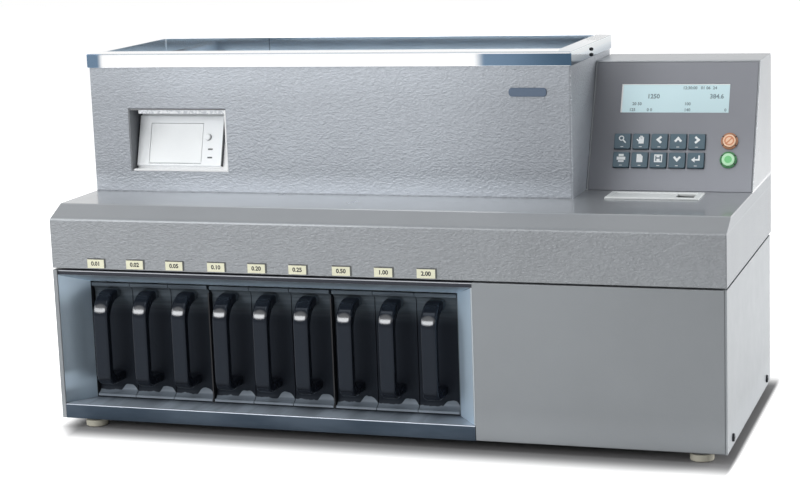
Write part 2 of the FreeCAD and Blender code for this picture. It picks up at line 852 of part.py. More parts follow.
def knuckle_spans(middle):
    """Ends of the three knuckles of a hinge: the outer two are the case's."""
    third = hinge_length / 3
    start = middle - hinge_length / 2
    return [(start + n * third + fit, start + (n + 1) * third - fit) for n in range(3)]


def make_hinge_base_leaves():
    """Hinge leaves on the rear wall with two knuckles each and the riveted pin."""
    leaves = []
    for middle in (-hinge_spread, hinge_spread):
        spans = knuckle_spans(middle)
        leaf = block(spans[0][0], spans[2][1], case_back, case_back + leaf_thickness,
                     hinge_z - leaf_height, case_top - seam_gap)
        for start, end in (spans[0], spans[2]):
            leaf = leaf.fuse(block(start, end, case_back, case_back + leaf_thickness, case_top - 2 * seam_gap, hinge_z))
            leaf = leaf.fuse(rod(knuckle_radius, (start, hinge_y, hinge_z), (end, hinge_y, hinge_z)))
        window = block(*spans[1], case_back - 1, hinge_y + knuckle_radius + 1,
                       hinge_z - knuckle_radius - 2 * fit, hinge_z + knuckle_radius + 1)
        leaf = leaf.cut(window)
        pin = rod(hinge_pin_radius, (spans[0][0], hinge_y, hinge_z), (spans[2][1], hinge_y, hinge_z))
        leaves.append(joined(leaf, pin))
    return Part.makeCompound(leaves)


def make_hinge_lid_leaves():
    """Hinge leaves inside the lid's rear wall with the middle knuckle."""
    leaves = []
    wall = back_y - sheet
    for middle in (-hinge_spread, hinge_spread):
        spans = knuckle_spans(middle)
        start, end = spans[1]
        start += fit
        end -= fit
        leaf = block(spans[0][0], spans[2][1], wall - leaf_thickness, wall,
                     hinge_z + knuckle_radius + 2 * fit, hinge_z + leaf_height)
        neck = block(start, end, wall - leaf_thickness, wall, hinge_z, hinge_z + knuckle_radius + 4 * fit)
        knuckle = rod(knuckle_radius, (start, hinge_y, hinge_z), (end, hinge_y, hinge_z))
        bore = rod(hinge_pin_radius + shaft_gap, (start - 1, hinge_y, hinge_z), (end + 1, hinge_y, hinge_z))
        leaves.append(joined(leaf, neck, knuckle).cut(bore))
    return Part.makeCompound(leaves)


# Lid

def inset(outline, distance):
    """Outline moved inwards, for a convex outline that runs clockwise in y and z."""
    count = len(outline)
    lines = []
    for index in range(count):
        y0, z0 = outline[index]
        y1, z1 = outline[(index + 1) % count]
        length = math.hypot(y1 - y0, z1 - z0)
        normal = ((z1 - z0) / length, -(y1 - y0) / length)
        lines.append((normal, normal[0] * y0 + normal[1] * z0 + distance))
    corners = []
    for index in range(count):
        (a, b), c = lines[index - 1]
        (d, e), f = lines[index]
        determinant = a * e - b * d
        corners.append(((c * e - b * f) / determinant, (a * f - c * d) / determinant))
    return corners


def coin_window():
    """Span in y and z of the way that the feed belt and its chute take into the console."""
    side = hopper_wall + 2 * feed_clearance
    return feed_front - side, feed_back + side, ledge_z, feed_top + 2 * disc_cone_height


def console_outline(forward):
    """Side view of the console, with its sloping front moved forward."""
    top_y = console_front + console_height * math.tan(math.radians(console_tilt))
    return [(console_front - forward, ledge_z), (top_y - forward, console_top),
            (back_y, console_top), (back_y, ledge_z)]


def make_top_cover():
    """Lid shell: front band, sloping edge, ledge and the console housing."""
    lid_outline = [(front_y, lid_low), (front_y, band_top), (front_y + chamfer_run, ledge_z),
                   (back_y, ledge_z), (back_y, lid_low)]
    cover = prism_x(lid_outline, -half_width, half_width)
    cover = cover.fuse(prism_x(console_outline(0), console_left, half_width)).removeSplitter()
    bends = ((front_y, band_top), (front_y + chamfer_run, ledge_z), (back_y, console_top))
    cover = rounded(cover, bend_radius, lambda p: any(near(p.y, y) and near(p.z, z) for y, z in bends))
    hollow = inset(lid_outline, sheet)
    hollow = [(y, z if z > lid_low + band_height / 2 else lid_low - 1) for y, z in hollow]
    cover = cover.cut(prism_x(hollow, sheet - half_width, half_width - sheet))
    room = console_outline(2 * chamfer_run)
    room = [(min(y, back_y - sheet), min(z, console_top - sheet)) for y, z in room]
    cover = cover.cut(prism_x(room, console_left + sheet, half_width - sheet))
    drop = block(console_left + 2 * flange, half_width - 2 * flange, console_front + flange,
                 back_y - flange, ledge_z - sheet - 1, ledge_z + 1)
    cover = cover.cut(drop)
    y0, y1, z0, z1 = coin_window()
    cover = cover.cut(block(console_left - 1, console_left + sheet + 1, y0, y1, z0, z1))
    left, right, front, back = tray_pan()
    cover = cover.cut(block(left - fit, right + fit, front - fit, back + fit, ledge_z - sheet - 1, ledge_z + 1))
    for middle in (-hinge_spread, hinge_spread):
        half = hinge_length / 2 + fit
        cover = cover.cut(block(middle - half, middle + half, back_y - sheet - 1, back_y + 1,
                                lid_low - 1, hinge_z + knuckle_radius + 4 * fit))
    fold = block(sheet / 2 - half_width, half_width - sheet / 2, front_y + sheet / 2, front_y + sheet + flange,
                 lid_low, lid_low + sheet)
    return joined(cover, fold)


def tray_pan():
    """Left, right, front and back of the sunk part of the ledge tray."""
    right = half_width - tray_right_inset
    back = console_front - tray_gap
    return (right - tray_width + tray_rim, right - tray_rim, back - tray_depth + tray_rim, back - tray_rim)


def make_ledge_tray():
    """Shallow moulded tray let into the ledge, with a window at its right end."""
    left, right, front, back = tray_pan()
    rim = block(left - tray_rim, right + tray_rim, front - tray_rim, back + tray_rim, ledge_z, ledge_z + tray_rise)
    rim = rounded(rim, tray_rise / 2, lambda p: near(p.z, ledge_z + tray_rise))
    pan = block(left, right, front, back, ledge_z - tray_sink, ledge_z + tray_rise / 2)
    tray = joined(rim, pan)
    hollow = block(left + tray_wall, right - tray_wall, front + tray_wall, back - tray_wall,
                   ledge_z + tray_rise - tray_hollow, ledge_z + tray_rise + 1)
    tray = tray.cut(hollow)
    window = block(right - tray_wall - tray_window, right - 2 * tray_wall, front + 2 * tray_wall,
                   back - 2 * tray_wall, ledge_z - tray_sink - 1, ledge_z + tray_rise)
    return tray.cut(window)


def make_label_plates():
    """Card holders on the band, one over each box."""
    low = lid_low + label_low
    plates = []
    for index in range(box_count):
        x = box_middle(index) + label_shift
        plates.append(block(x - label_width / 2, x + label_width / 2, front_y - label_thickness, front_y,
                            low, low + label_height))
    return Part.makeCompound(plates)


# Hopper

def make_hopper_shell():
    """Four walls of the hopper with the printer's opening and the coin way to the console."""
    shell = block(hopper_left, hopper_right, hopper_front, hopper_back, ledge_z, hopper_top)
    corners = [(x, y) for x in (hopper_left, hopper_right) for y in (hopper_front, hopper_back)]
    shell = rounded(shell, bend_radius, lambda p: any(near(p.x, x) and near(p.y, y) for x, y in corners))
    shell = shell.cut(block(hopper_left + hopper_wall, hopper_right - hopper_wall, hopper_front + hopper_wall,
                            hopper_back - hopper_wall, ledge_z - 1, hopper_top + 1))
    shell = shell.cut(block(pocket_x, pocket_x + pocket_width, hopper_front - 1, hopper_front + hopper_wall + 1,
                            pocket_z, pocket_z + pocket_height))
    y0, y1, z0, z1 = coin_window()
    return shell.cut(block(hopper_right - hopper_wall - 1, hopper_right + 1, y0, y1, z0 - 1, z1))


def rim_ring(grow, low, high, rise):
    """Rectangular ring over the hopper wall; grow moves both of its faces into the ring's room."""
    x0 = hopper_left - rim_overhang + grow
    x1 = hopper_right + rim_overhang - grow
    y0 = hopper_front - rim_overhang + grow
    y1 = hopper_back + rim_overhang - grow
    run = rim_width - 2 * grow
    ring = block(x0, x1, y0, y1, low, high)
    crown = taper(level(x0, x1, y0, y1, high), level(x0 + run, x1 - run, y0 + run, y1 - run, high + rise))
    core = block(x0 + run, x1 - run, y0 + run, y1 - run, low - 1, high + rise + 1)
    return ring.fuse(crown).cut(core).removeSplitter()


def make_hopper_rim():
    """Polished cap folded over the hopper's top edge."""
    rim = rim_ring(0, rim_low, rim_top, rim_rise)
    return rim.cut(rim_ring(rim_sheet, rim_low - 1, rim_top - rim_sheet, rim_rise))


def make_hopper_liner():
    """Funnel to the feed belt, the belt's side plates with bearings, and the chute to the disc."""
    top = rim_low - funnel_drop
    low = feed_top + feed_clearance
    wall = hopper_wall + fit
    x0, x1 = hopper_left + wall, hopper_right - wall
    y0, y1 = hopper_front + wall, hopper_back - wall
    left = roller_left_x + feed_clearance
    front = feed_front - feed_clearance
    back = feed_back + feed_clearance
    outer = taper(level(left - hopper_wall, x1, front - hopper_wall, back + hopper_wall, low),
                  level(x0, x1, y0, y1, top))
    inner = taper(level(left, x1 - hopper_wall, front, back, low),
                  level(x0 + hopper_wall, x1 - hopper_wall, y0 + hopper_wall, y1 - hopper_wall, top))
    liner = outer.cut(inner)
    win_y0, win_y1, win_z0, win_z1 = coin_window()
    liner = liner.cut(block(x1 - hopper_wall - 1, x1 + 1, win_y0, win_y1, win_z0, win_z1))
    plate_low = ledge_z
    start = roller_left_x - roller_radius
    end = hopper_right + chute_reach
    for y in (front - hopper_wall, back):
        plate = block(start, end, y, y + hopper_wall, plate_low, low + hopper_wall)
        liner = liner.fuse(plate)
    chute_start = roller_right_x + roller_radius + feed_belt_thickness + 2 * running_gap + hopper_wall
    chute_top = roller_z + roller_radius / 2
    chute = prism_y([(chute_start, chute_top), (end, chute_top - chute_drop),
                     (end, chute_top - chute_drop - hopper_wall), (chute_start, chute_top - hopper_wall)],
                    front - hopper_wall / 2, back + hopper_wall / 2)
    liner = liner.fuse(chute)
    for x in (roller_left_x, roller_right_x):
        liner = liner.cut(rod(roller_shaft_radius + shaft_gap, (x, win_y0 - 1, roller_z), (x, win_y1 + 1, roller_z)))
    return liner.removeSplitter()


def make_hopper_belt():
    """Feed belt that forms the hopper's floor."""
    return loop_belt(roller_left_x, roller_right_x, feed_front, feed_back, roller_z,
                     roller_radius + running_gap, feed_belt_thickness)


def make_roller(x):
    """Belt roller with its shaft ends in the side plates."""
    play = feed_clearance - running_gap
    body = rod(roller_radius, (x, feed_front - play, roller_z), (x, feed_back + play, roller_z))
    shaft_end = feed_clearance + 2 * hopper_wall
    shaft = rod(roller_shaft_radius, (x, feed_front - shaft_end, roller_z), (x, feed_back + shaft_end, roller_z))
    return joined(body, shaft)


# Ticket printer

def make_printer_frame():
    """Black pocket behind the hopper's opening with a leaning back plate for the printer."""
    x0 = pocket_x + fit
    x1 = pocket_x + pocket_width - fit
    z0 = pocket_z + fit
    z1 = pocket_z + pocket_height - fit
    back = hopper_front + pocket_depth
    frame = block(x0, x1, hopper_front, back, z0, z1)
    frame = frame.cut(block(x0 + pocket_wall, x1 - pocket_wall, hopper_front - 1, back + 1,
                            z0 + pocket_wall, z1 - pocket_wall))
    plate = on_printer(block(x0, x1, printer_bezel, printer_bezel + pocket_wall, -pocket_height, 2 * pocket_height))
    frame = frame.fuse(plate.common(block(x0, x1, hopper_front, back, z0, z1)))
    return frame.cut(printer_chassis(fit)).removeSplitter()


def printer_chassis(grow):
    """Printer's works behind its bezel."""
    margin = 2 * printer_bezel - grow
    return on_printer(block(printer_x + margin, printer_x + printer_width - margin, printer_bezel - 1,
                            printer_bezel + printer_body_depth + grow, margin, printer_height - margin))


def door_span():
    left = printer_x + door_left
    return left, left + door_width, door_low, door_low + door_height


def feed_button_place():
    return printer_x + printer_width - feed_button_right, feed_button_low


def make_printer_body():
    """Printer with its white bezel, the paper door's opening and the feed button's hole."""
    bezel = block(printer_x, printer_x + printer_width, 0, printer_bezel, 0, printer_height)
    bezel = rounded(bezel, printer_bezel / 4, lambda p: near(p.y, 0))
    body = on_printer(bezel).fuse(printer_chassis(0))
    x0, x1, z0, z1 = door_span()
    opening = block(x0 - door_gap, x1 + door_gap, -1, door_thickness + door_gap, z0 - door_gap, z1 + door_gap)
    hinge = door_hinge()
    pin_hole = rod(door_pin_radius + shaft_gap, (x0 - door_pin_length - fit, *hinge), (x1 + door_pin_length + fit, *hinge))
    x, z = feed_button_place()
    hole = rod(feed_button_radius + fit, (x, -1, z), (x, printer_bezel + printer_body_depth / 2, z))
    for cut in (opening, pin_hole, hole):
        body = body.cut(on_printer(cut))
    return body.removeSplitter()


def door_hinge():
    """Place of the door's hinge line on the leaning face: depth and height."""
    return door_thickness / 2, door_low + door_thickness / 2


def make_printer_door():
    """Paper door, rounded along its hinge edge, with two hinge pins."""
    x0, x1, z0, z1 = door_span()
    depth, height = door_hinge()
    door = block(x0, x1, 0, door_thickness, height, z1)
    door = door.fuse(rod(door_thickness / 2, (x0, depth, height), (x1, depth, height)))
    pins = rod(door_pin_radius, (x0 - door_pin_length, depth, height), (x1 + door_pin_length, depth, height))
    return on_printer(joined(door, pins))


def make_printer_button():
    """Round paper feed button."""
    x, z = feed_button_place()
    button = rod(feed_button_radius, (x, -feed_button_rise, z), (x, printer_bezel, z))
    button = rounded(button, feed_button_rise / 2, lambda p: near(p.y, -feed_button_rise))
    return on_printer(button)


# Console

def key_place(index):
    """Middle of a key on the panel, counted along the upper row and then the lower."""
    row, column = divmod(index, key_columns)
    return (console_left + key_first + column * key_pitch,
            key_low + (key_rows - 1 - row) * key_row_pitch)


def button_place(index):
    return half_width - button_inset, button_low + index * key_row_pitch


def make_control_panel():
    """Sloping front plate of the console with its openings and the two button collars."""
    left = console_left + sheet + fit
    right = half_width - sheet - fit
    plate = block(left, right, 0, panel_thickness, -panel_length, 2 * panel_length)
    display_x = console_middle - display_width / 2
    plate = plate.cut(block(display_x - fit, display_x + display_width + fit, -1, panel_thickness + 1,
                            display_low - fit, display_low + display_height + fit))
    for index in range(key_columns * key_rows):
        x, z = key_place(index)
        plate = plate.cut(block(x - key_width / 2 - running_gap, x + key_width / 2 + running_gap, -1,
                                panel_thickness + 1, z - key_height / 2 - running_gap,
                                z + key_height / 2 + running_gap))
    for index in range(2):
        x, z = button_place(index)
        plate = plate.fuse(rod(button_radius + collar_width, (x, -collar_rise, z), (x, panel_thickness / 2, z)))
        plate = plate.cut(rod(button_radius + running_gap, (x, -collar_rise - 1, z), (x, panel_thickness + 1, z)))
    room = block(left - 1, right + 1, front_y, back_y, ledge_z + fit, console_top - sheet - fit)
    return on_panel(plate.removeSplitter()).common(room)


def make_display_module():
    """Graphic display with its glass in the panel's window."""
    x0 = console_middle - display_width / 2
    x1 = x0 + display_width
    z0 = display_low
    z1 = z0 + display_height
    glass = block(x0, x1, display_sink, panel_thickness, z0, z1)
    frame = block(x0 - display_border, x1 + display_border, panel_thickness, panel_thickness + display_depth,
                  z0 - display_border, z1 + display_border)
    return on_panel(joined(glass, frame))


def make_key(index):
    """Square key with a wider foot behind the panel."""
    x, z = key_place(index)
    cap = block(x - key_width / 2, x + key_width / 2, -key_rise, panel_thickness + running_gap,
                z - key_height / 2, z + key_height / 2)
    cap = rounded(cap, key_radius, lambda p: p.y > -key_rise + 0.1 and p.y < panel_thickness)
    cap = rounded(cap, key_radius / 3, lambda p: near(p.y, -key_rise))
    foot = block(x - key_width / 2 - key_skirt, x + key_width / 2 + key_skirt, panel_thickness + running_gap,
                 panel_thickness + running_gap + key_skirt_thickness,
                 z - key_height / 2 - key_skirt, z + key_height / 2 + key_skirt)
    return on_panel(joined(cap, foot))


def make_button(index):
    """Round start or stop button with a wider foot behind the panel."""
    x, z = button_place(index)
    cap = rod(button_radius, (x, -button_rise, z), (x, panel_thickness + running_gap, z))
    cap = rounded(cap, button_rise / 4, lambda p: near(p.y, -button_rise))
    foot = rod(button_radius + key_skirt, (x, panel_thickness + running_gap, z),
               (x, panel_thickness + running_gap + key_skirt_thickness, z))
    return on_panel(joined(cap, foot))


def make_nodes():
    """Every piece of the machine by name."""
    nodes = {
        "base_pan": make_base_pan(),
        "case_wrap": make_case_wrap(),
        "lower_front_panel": make_lower_front_panel(),
        "bay_tray": make_bay_tray(),
        "bay_surround": make_bay_surround(),
        "deck_plate": make_deck_plate(),
        "feet": make_feet(),
        "case_screws": make_case_screws(),
        "lid_bumpers": make_lid_bumpers(),
        "sort_rail": make_sort_rail(),
        "transport_belt": make_transport_belt(),
        "rail_drive_pulley": make_drive_pulley(),
        "rail_idler_pulley": make_idler_pulley(),
        "rail_motor": make_rail_motor(),
        "coin_sensor": make_coin_sensor(),
        "disc_bowl": make_disc_bowl(),
        "sort_disc": make_sort_disc(),
        "disc_motor": make_disc_motor(),
        "power_supply": make_power_supply(),
        "control_board": make_control_board(),
        "power_inlet": make_power_inlet(),
        "power_switch": make_power_switch(),
        "hinge_base_leaves": make_hinge_base_leaves(),
        "hinge_lid_leaves": make_hinge_lid_leaves(),
        "top_cover": make_top_cover(),
        "ledge_tray": make_ledge_tray(),
        "label_plates": make_label_plates(),
        "hopper_shell": make_hopper_shell(),
        "hopper_rim": make_hopper_rim(),
        "hopper_liner": make_hopper_liner(),
        "hopper_belt": make_hopper_belt(),
        "hopper_drive_roller": make_roller(roller_right_x),
        "hopper_idler_roller": make_roller(roller_left_x),
        "printer_frame": make_printer_frame(),
        "printer_body": make_printer_body(),
        "printer_door": make_printer_door(),
        "printer_button": make_printer_button(),
        "control_panel": make_control_panel(),
        "display_module": make_display_module(),
        "start_button": make_button(0),
        "stop_button": make_button(1),
    }
    for index in range(key_columns * key_rows):
        nodes[f"key_{index + 1}"] = make_key(index)
    box = make_coin_box()
    for index in range(box_count):
        copy = box.copy()
        copy.translate(V(box_left(index), box_front, box_low))
        nodes[f"coin_box_{index + 1}"] = copy
    return nodes


def main():
    os.makedirs("parts", exist_ok=True)
    for name, shape in make_nodes().items():
        shape.exportStep(f"parts/{name}.step")


main()
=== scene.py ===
import json
import math

import bmesh
import bpy
from bpy.props import FloatProperty, FloatVectorProperty, PointerProperty
from mathutils import Matrix, Quaternion, Vector

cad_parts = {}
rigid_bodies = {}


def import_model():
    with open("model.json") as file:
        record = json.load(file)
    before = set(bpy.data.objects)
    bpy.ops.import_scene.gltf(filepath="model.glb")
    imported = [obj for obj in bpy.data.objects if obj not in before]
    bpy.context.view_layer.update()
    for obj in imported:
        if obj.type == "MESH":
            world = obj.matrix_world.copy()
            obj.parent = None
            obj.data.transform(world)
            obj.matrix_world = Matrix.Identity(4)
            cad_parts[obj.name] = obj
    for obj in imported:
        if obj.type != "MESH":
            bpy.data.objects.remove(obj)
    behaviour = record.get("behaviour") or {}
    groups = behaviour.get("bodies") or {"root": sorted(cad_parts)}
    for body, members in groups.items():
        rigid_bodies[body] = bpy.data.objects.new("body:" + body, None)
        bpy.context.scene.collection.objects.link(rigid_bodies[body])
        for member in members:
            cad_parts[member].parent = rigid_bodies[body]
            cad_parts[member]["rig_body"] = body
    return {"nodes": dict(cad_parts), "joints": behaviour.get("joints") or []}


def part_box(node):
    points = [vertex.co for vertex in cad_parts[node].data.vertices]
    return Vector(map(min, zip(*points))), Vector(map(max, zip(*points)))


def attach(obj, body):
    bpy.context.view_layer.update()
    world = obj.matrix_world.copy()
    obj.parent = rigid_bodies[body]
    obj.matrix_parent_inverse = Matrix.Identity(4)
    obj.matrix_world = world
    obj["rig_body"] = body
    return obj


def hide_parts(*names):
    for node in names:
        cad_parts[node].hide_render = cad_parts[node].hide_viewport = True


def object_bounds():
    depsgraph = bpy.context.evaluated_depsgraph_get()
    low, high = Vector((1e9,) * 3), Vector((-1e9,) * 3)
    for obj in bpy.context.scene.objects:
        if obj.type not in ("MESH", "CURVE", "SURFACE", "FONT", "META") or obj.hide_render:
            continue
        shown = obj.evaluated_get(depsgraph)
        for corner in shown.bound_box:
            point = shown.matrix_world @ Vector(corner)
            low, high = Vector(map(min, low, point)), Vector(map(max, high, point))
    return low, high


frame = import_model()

bl_info = {
    "name": "Coin sorting machine",
    "version": (1, 0, 0),
    "blender": (4, 5, 0),
    "location": "3D View > Sidebar > Coin sorter",
    "description": "Dresses the coin sorting machine's frame with its finishes and small parts",
    "category": "Object",
}

cad_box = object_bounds()

# Tolerances, in metres and radians
WELD = 1e-6
FLAT = 2e-5
SMOOTH_ANGLE = math.radians(32)
FLAT_ANGLE = math.radians(0.5)

# Turns a flat drawing to face forwards
QUARTER_TURN = math.pi / 2
UPRIGHT = Matrix.Rotation(QUARTER_TURN, 4, "X")

# Row order of the signs on the keys: the upper row and then the lower one
KEY_SIGNS = ("lens", "hand", "left", "up", "right", "printer", "page", "card", "down", "enter")

# Plain coin values on the card holders
LABEL_VALUES = ("0.01", "0.02", "0.05", "0.10", "0.20", "0.25", "0.50", "1.00", "2.00")

# Rows of figures on the display: text, size, and place across and up the window
SCREEN_ROWS = (
    ("12:30:00   01 06  24", 1.0, 0.225, 0.36),
    ("1250", 1.5, -0.20, 0.06), ("384.6", 1.5, 0.385, 0.06),
    ("20 50", 1.0, -0.35, -0.20), ("100", 1.0, 0.12, -0.20),
    ("125", 1.0, -0.39, -0.41), ("0 0", 1.0, -0.23, -0.41),
    ("140", 1.0, 0.12, -0.41), ("0", 1.0, 0.47, -0.41),
)

# Screws and hinges, in metres, with a screw's parts as shares of its diameter
REAR_SCREW_LOW, REAR_SCREW_INSET, REAR_SCREW_RISE = 0.022, 0.024, 0.28
HINGE_LEAF, HINGE_LENGTH, HINGE_SCREW_LOW = 0.0015, 0.060, 0.010
RIM_SCREW_Y, RIM_SCREW_HEIGHTS, RIM_SCREW_RISE = 0.054, (0.0029, 0.0092), 0.50
SCREW_SIDES, SCREW_TOP, CROSS_WIDTH, CROSS_DEPTH, CROSS_LENGTH = 24, 0.36, 0.11, 0.28, 0.56

# Badge plate, in metres, with its corners as a share of its height and the sunk share of its depth
BADGE_HEIGHT, BADGE_DEPTH, BADGE_INSET, BADGE_DROP = 0.0098, 0.0012, 0.049, 0.029
BADGE_CORNER, BADGE_SUNK = 0.40, 0.1

# Thin plates: steps of a rounded corner, and shares of a side and of the depth that are rounded
PLATE_CORNER_STEPS, PLATE_CORNER, PLATE_SOFT = 6, 0.3, 0.4

# Belts: thickness, number of cleats and their size, with their share of the belt's width
FEED_BELT = (0.0020, 70, 0.0012)
RAIL_BELT = (0.0015, 220, 0.0006)
CLEAT_SHARE, BELT_BEND_STEPS = 0.94, 16

# Printer and its pocket, in metres, with the door's share of the edge radius
LAMP_OFFSETS = ((0.0035, -0.0145), (0.0035, -0.0245))
LAMP_WIDTH, LAMP_HEIGHT, LAMP_DEPTH, LAMP_SUNK = 0.0063, 0.0019, 0.0008, 0.6
POCKET_WALL = 0.0018
POCKET_LIP_HEIGHT, POCKET_LIP_DEPTH, POCKET_LIP_BACK, POCKET_LIP_INSET = 0.0046, 0.0010, 0.0030, 0.0095
DOOR_EDGE = 0.7

# Console, in metres, with its share of the edge radius and shares of a sign's size
CONSOLE_EDGE = 0.6
DISPLAY_WINDOW = (0.124, 0.034)
SCREEN_EDGE, SCREEN_EDGE_DEPTH, SCREEN_HEAD_SHARE = 0.0016, 0.0005, 0.6
SIGN_RISE, MARK_SIZE, MARK_DROP = 0.17, 0.3, 0.62
BUTTON_RADIUS, BUTTON_SIGN = 0.0074, 1.9
RING_GAP, RING_WIDTH, RING_BELOW, RING_ABOVE, RING_SIDES = 0.0004, 0.0018, 0.0015, 0.0003, 64
NOTCH_TURNS, NOTCH_WIDTH, NOTCH_DEPTH, NOTCH_SUNK = (35, 145, 215, 325), 0.0020, 0.0012, 0.7

# Cards over the coin boxes, with dark cards offset behind them as their painted shadows
LABEL_SHIFT, LABEL_SHADOW, LABEL_SHADOW_DEPTH = 0.0020, (0.0226, 0.0112), 0.0005
LABEL_SHADOW_OFFSET = (0.0010, 0.0006)

# Print: weight and steps of a figure's outline, and the rise of the ink's middle as a share of its thickness
FIGURE_WEIGHT, FIGURE_STEPS, INK_RISE = 0.032, 3, 0.25

# Coin boxes and the plugs in the sides of their handles
BOX_COUNT = 9
HANDLE_WIDTH, HANDLE_REACH = 0.0182, 0.032
PLUG_RADIUS, PLUG_RISE, PLUG_DEPTH, PLUG_HEIGHT = 0.0026, 0.0006, 0.023, 0.0265
PLUG_BORE, PLUG_SHOULDER, PLUG_FLAT, PLUG_SIDES = 0.0002, 0.4, 0.75, 20

# Lid's band and the chamfer above it
BAND_ABOVE_LABELS, CHAMFER_RISE = 0.0556, 0.014

# Stage: camera, surroundings, and each lamp's name, place, width and height
CAMERA_PLACE = (0.7165, -2.1882, 0.6283)
CAMERA_AZIMUTH = math.radians(18.61)
CAMERA_ELEVATION = math.radians(10.77)
CAMERA_ROLL = math.radians(2.08)
CAMERA_LENS, CAMERA_SENSOR = 89.96, 36.0
WORLD_LIGHT = 0.28
LAMP_TARGET = (0.0, 0.0, 0.2)
LAMPS = (
    ("right", (2.4, 1.15, 0.75), 1.0, 1.3),
    ("top", (-0.5, -0.55, 2.6), 2.4, 1.6),
    ("front", (-1.15, -2.55, 1.25), 1.15, 0.85),
    ("left", (-2.3, -1.5, 1.1), 1.2, 1.2),
)

# Floor: its glow, and the painted shadow's reach ahead, narrowing aside, left end and that end's slant
SHADOW_REACH, SHADOW_NARROW, SHADOW_LEFT, SHADOW_SKEW = (0.002, 0.066), 9.0, (0.024, -0.018), 0.70
FLOOR_GLOW = 0.74


# Sizes and colours that a user would change

def length(name, description, default):
    return FloatProperty(name=name, description=description, default=default, unit="LENGTH", precision=5)


def power(name, description, default):
    return FloatProperty(name=name, description=description, default=default, unit="POWER")


def colour(name, description, default):
    return FloatVectorProperty(name=name, description=description, default=default, subtype="COLOR",
                               size=3, min=0.0, max=1.0)


class SorterColours(bpy.types.PropertyGroup):
    """Colours of the machine's finishes."""
    hopper: colour("Hopper paint", "Embossed paint of the hopper", (0.375, 0.402, 0.440))
    lid: colour("Lid paint", "Embossed paint of the lid", (0.285, 0.302, 0.320))
    satin: colour("Satin paint", "Lower case", (0.252, 0.270, 0.286))
    overlay: colour("Console overlay", "Matt sheet on the console", (0.245, 0.255, 0.285))
    polished: colour("Polished steel", "Rim of the hopper", (0.95, 0.96, 0.97))
    blue_grey: colour("Satin steel", "Bay surround and funnel", (0.27, 0.335, 0.395))
    plated: colour("Plated steel", "Hidden sheet metal", (0.45, 0.46, 0.47))
    alloy: colour("Machined alloy", "Rail, disc, pulleys and rollers", (0.72, 0.73, 0.74))
    black: colour("Black moulding", "Coin boxes and power switch", (0.0075, 0.0095, 0.0145))
    slate: colour("Key slate", "Key caps", (0.068, 0.119, 0.154))
    cream: colour("Cream rubber", "Feet", (0.66, 0.635, 0.53))
    frame: colour("Pale moulding", "Window frame in the ledge", (0.72, 0.75, 0.75))
    card: colour("Card cream", "Cards over the coin boxes", (0.81, 0.80, 0.61))
    white: colour("Printer white", "Ticket printer", (0.90, 0.93, 0.95))
    ink: colour("White ink", "Signs on the keys", (0.86, 0.89, 0.90))
    screen: colour("Screen", "Display glass", (0.53, 0.69, 0.73))
    go: colour("Start green", "Start button", (0.55, 0.93, 0.59))
    halt: colour("Stop orange", "Stop button", (0.97, 0.62, 0.44))


class SorterSizes(bpy.types.PropertyGroup):
    """Sizes of the small parts that the frame doesn't hold."""
    edge: length("Edge radius", "Rounding of moulded and folded edges", 0.0006)
    ink_depth: length("Ink thickness", "Height of a printed sign", 0.00012)
    sign: length("Sign size", "Height of a key's sign", 0.0108)
    label_text: length("Label text height", "Height of the numbers on the card holders", 0.0066)
    screen_text: length("Screen text height", "Height of the small numbers on the screen", 0.0048)
    screw: length("Screw diameter", "Screw heads on the rear", 0.0062)
    rim_edge: length("Rim edge radius", "Rounding of the polished rim", 0.0016)
    rim_screw: length("Rim screw diameter", "Two screw heads at the rim's right end", 0.0042)
    badge: length("Badge length", "Bare plate on the hopper's front", 0.0435)


class SorterStage(bpy.types.PropertyGroup):
    """Floor and lamps."""
    floor: length("Floor width", "Edge of the floor sheet", 14.0)
    right_power: power("Right lamp", "Power of the lamp at the right", 53.0)
    top_power: power("Top lamp", "Power of the lamp overhead", 34.0)
    front_power: power("Front lamp", "Power of the lamp by the camera", 19.0)
    left_power: power("Left lamp", "Power of the lamp at the left", 17.0)


# Node trees

# Stretch of a pattern that is alike along every axis
EVEN = (1.0, 1.0, 1.0)


class Number:
    """A value that changes over a surface or a shape, with the usual arithmetic."""

    def __init__(self, nodes, socket):
        self.nodes = nodes
        self.socket = socket

    def math(self, operation, first, second):
        return self.nodes.node("ShaderNodeMath", {"operation": operation}, {0: first, 1: second})

    def __add__(self, other):
        return self.math("ADD", self, other)

    def __sub__(self, other):
        return self.math("SUBTRACT", self, other)

    def __rsub__(self, other):
        return self.math("SUBTRACT", other, self)

    def __mul__(self, other):
        return self.math("MULTIPLY", self, other)

    def __pow__(self, other):
        return self.math("POWER", self, other)

    __radd__ = __add__
    __rmul__ = __mul__


class Nodes:
    """A node tree being made."""

    def __init__(self, tree):
        self.tree = tree

    def feed(self, socket, value):
        """Set a socket to a value, or link it to one value or to several."""
        for link in value if isinstance(value, list) else [value]:
            if isinstance(link, Number):
                self.tree.links.new(link.socket, socket)
            else:
                socket.default_value = link

    def node(self, kind, settings=None, sockets=None, output=0):
        """Any node: its settings first, then its sockets' values or links. Returns one of its outputs."""
        made = self.tree.nodes.new(kind)
        for name, value in (settings or {}).items():
            setattr(made, name, value)
        for name, value in (sockets or {}).items():
            self.feed(made.inputs[name], value)
        return Number(self, made.outputs[output]) if made.outputs else None


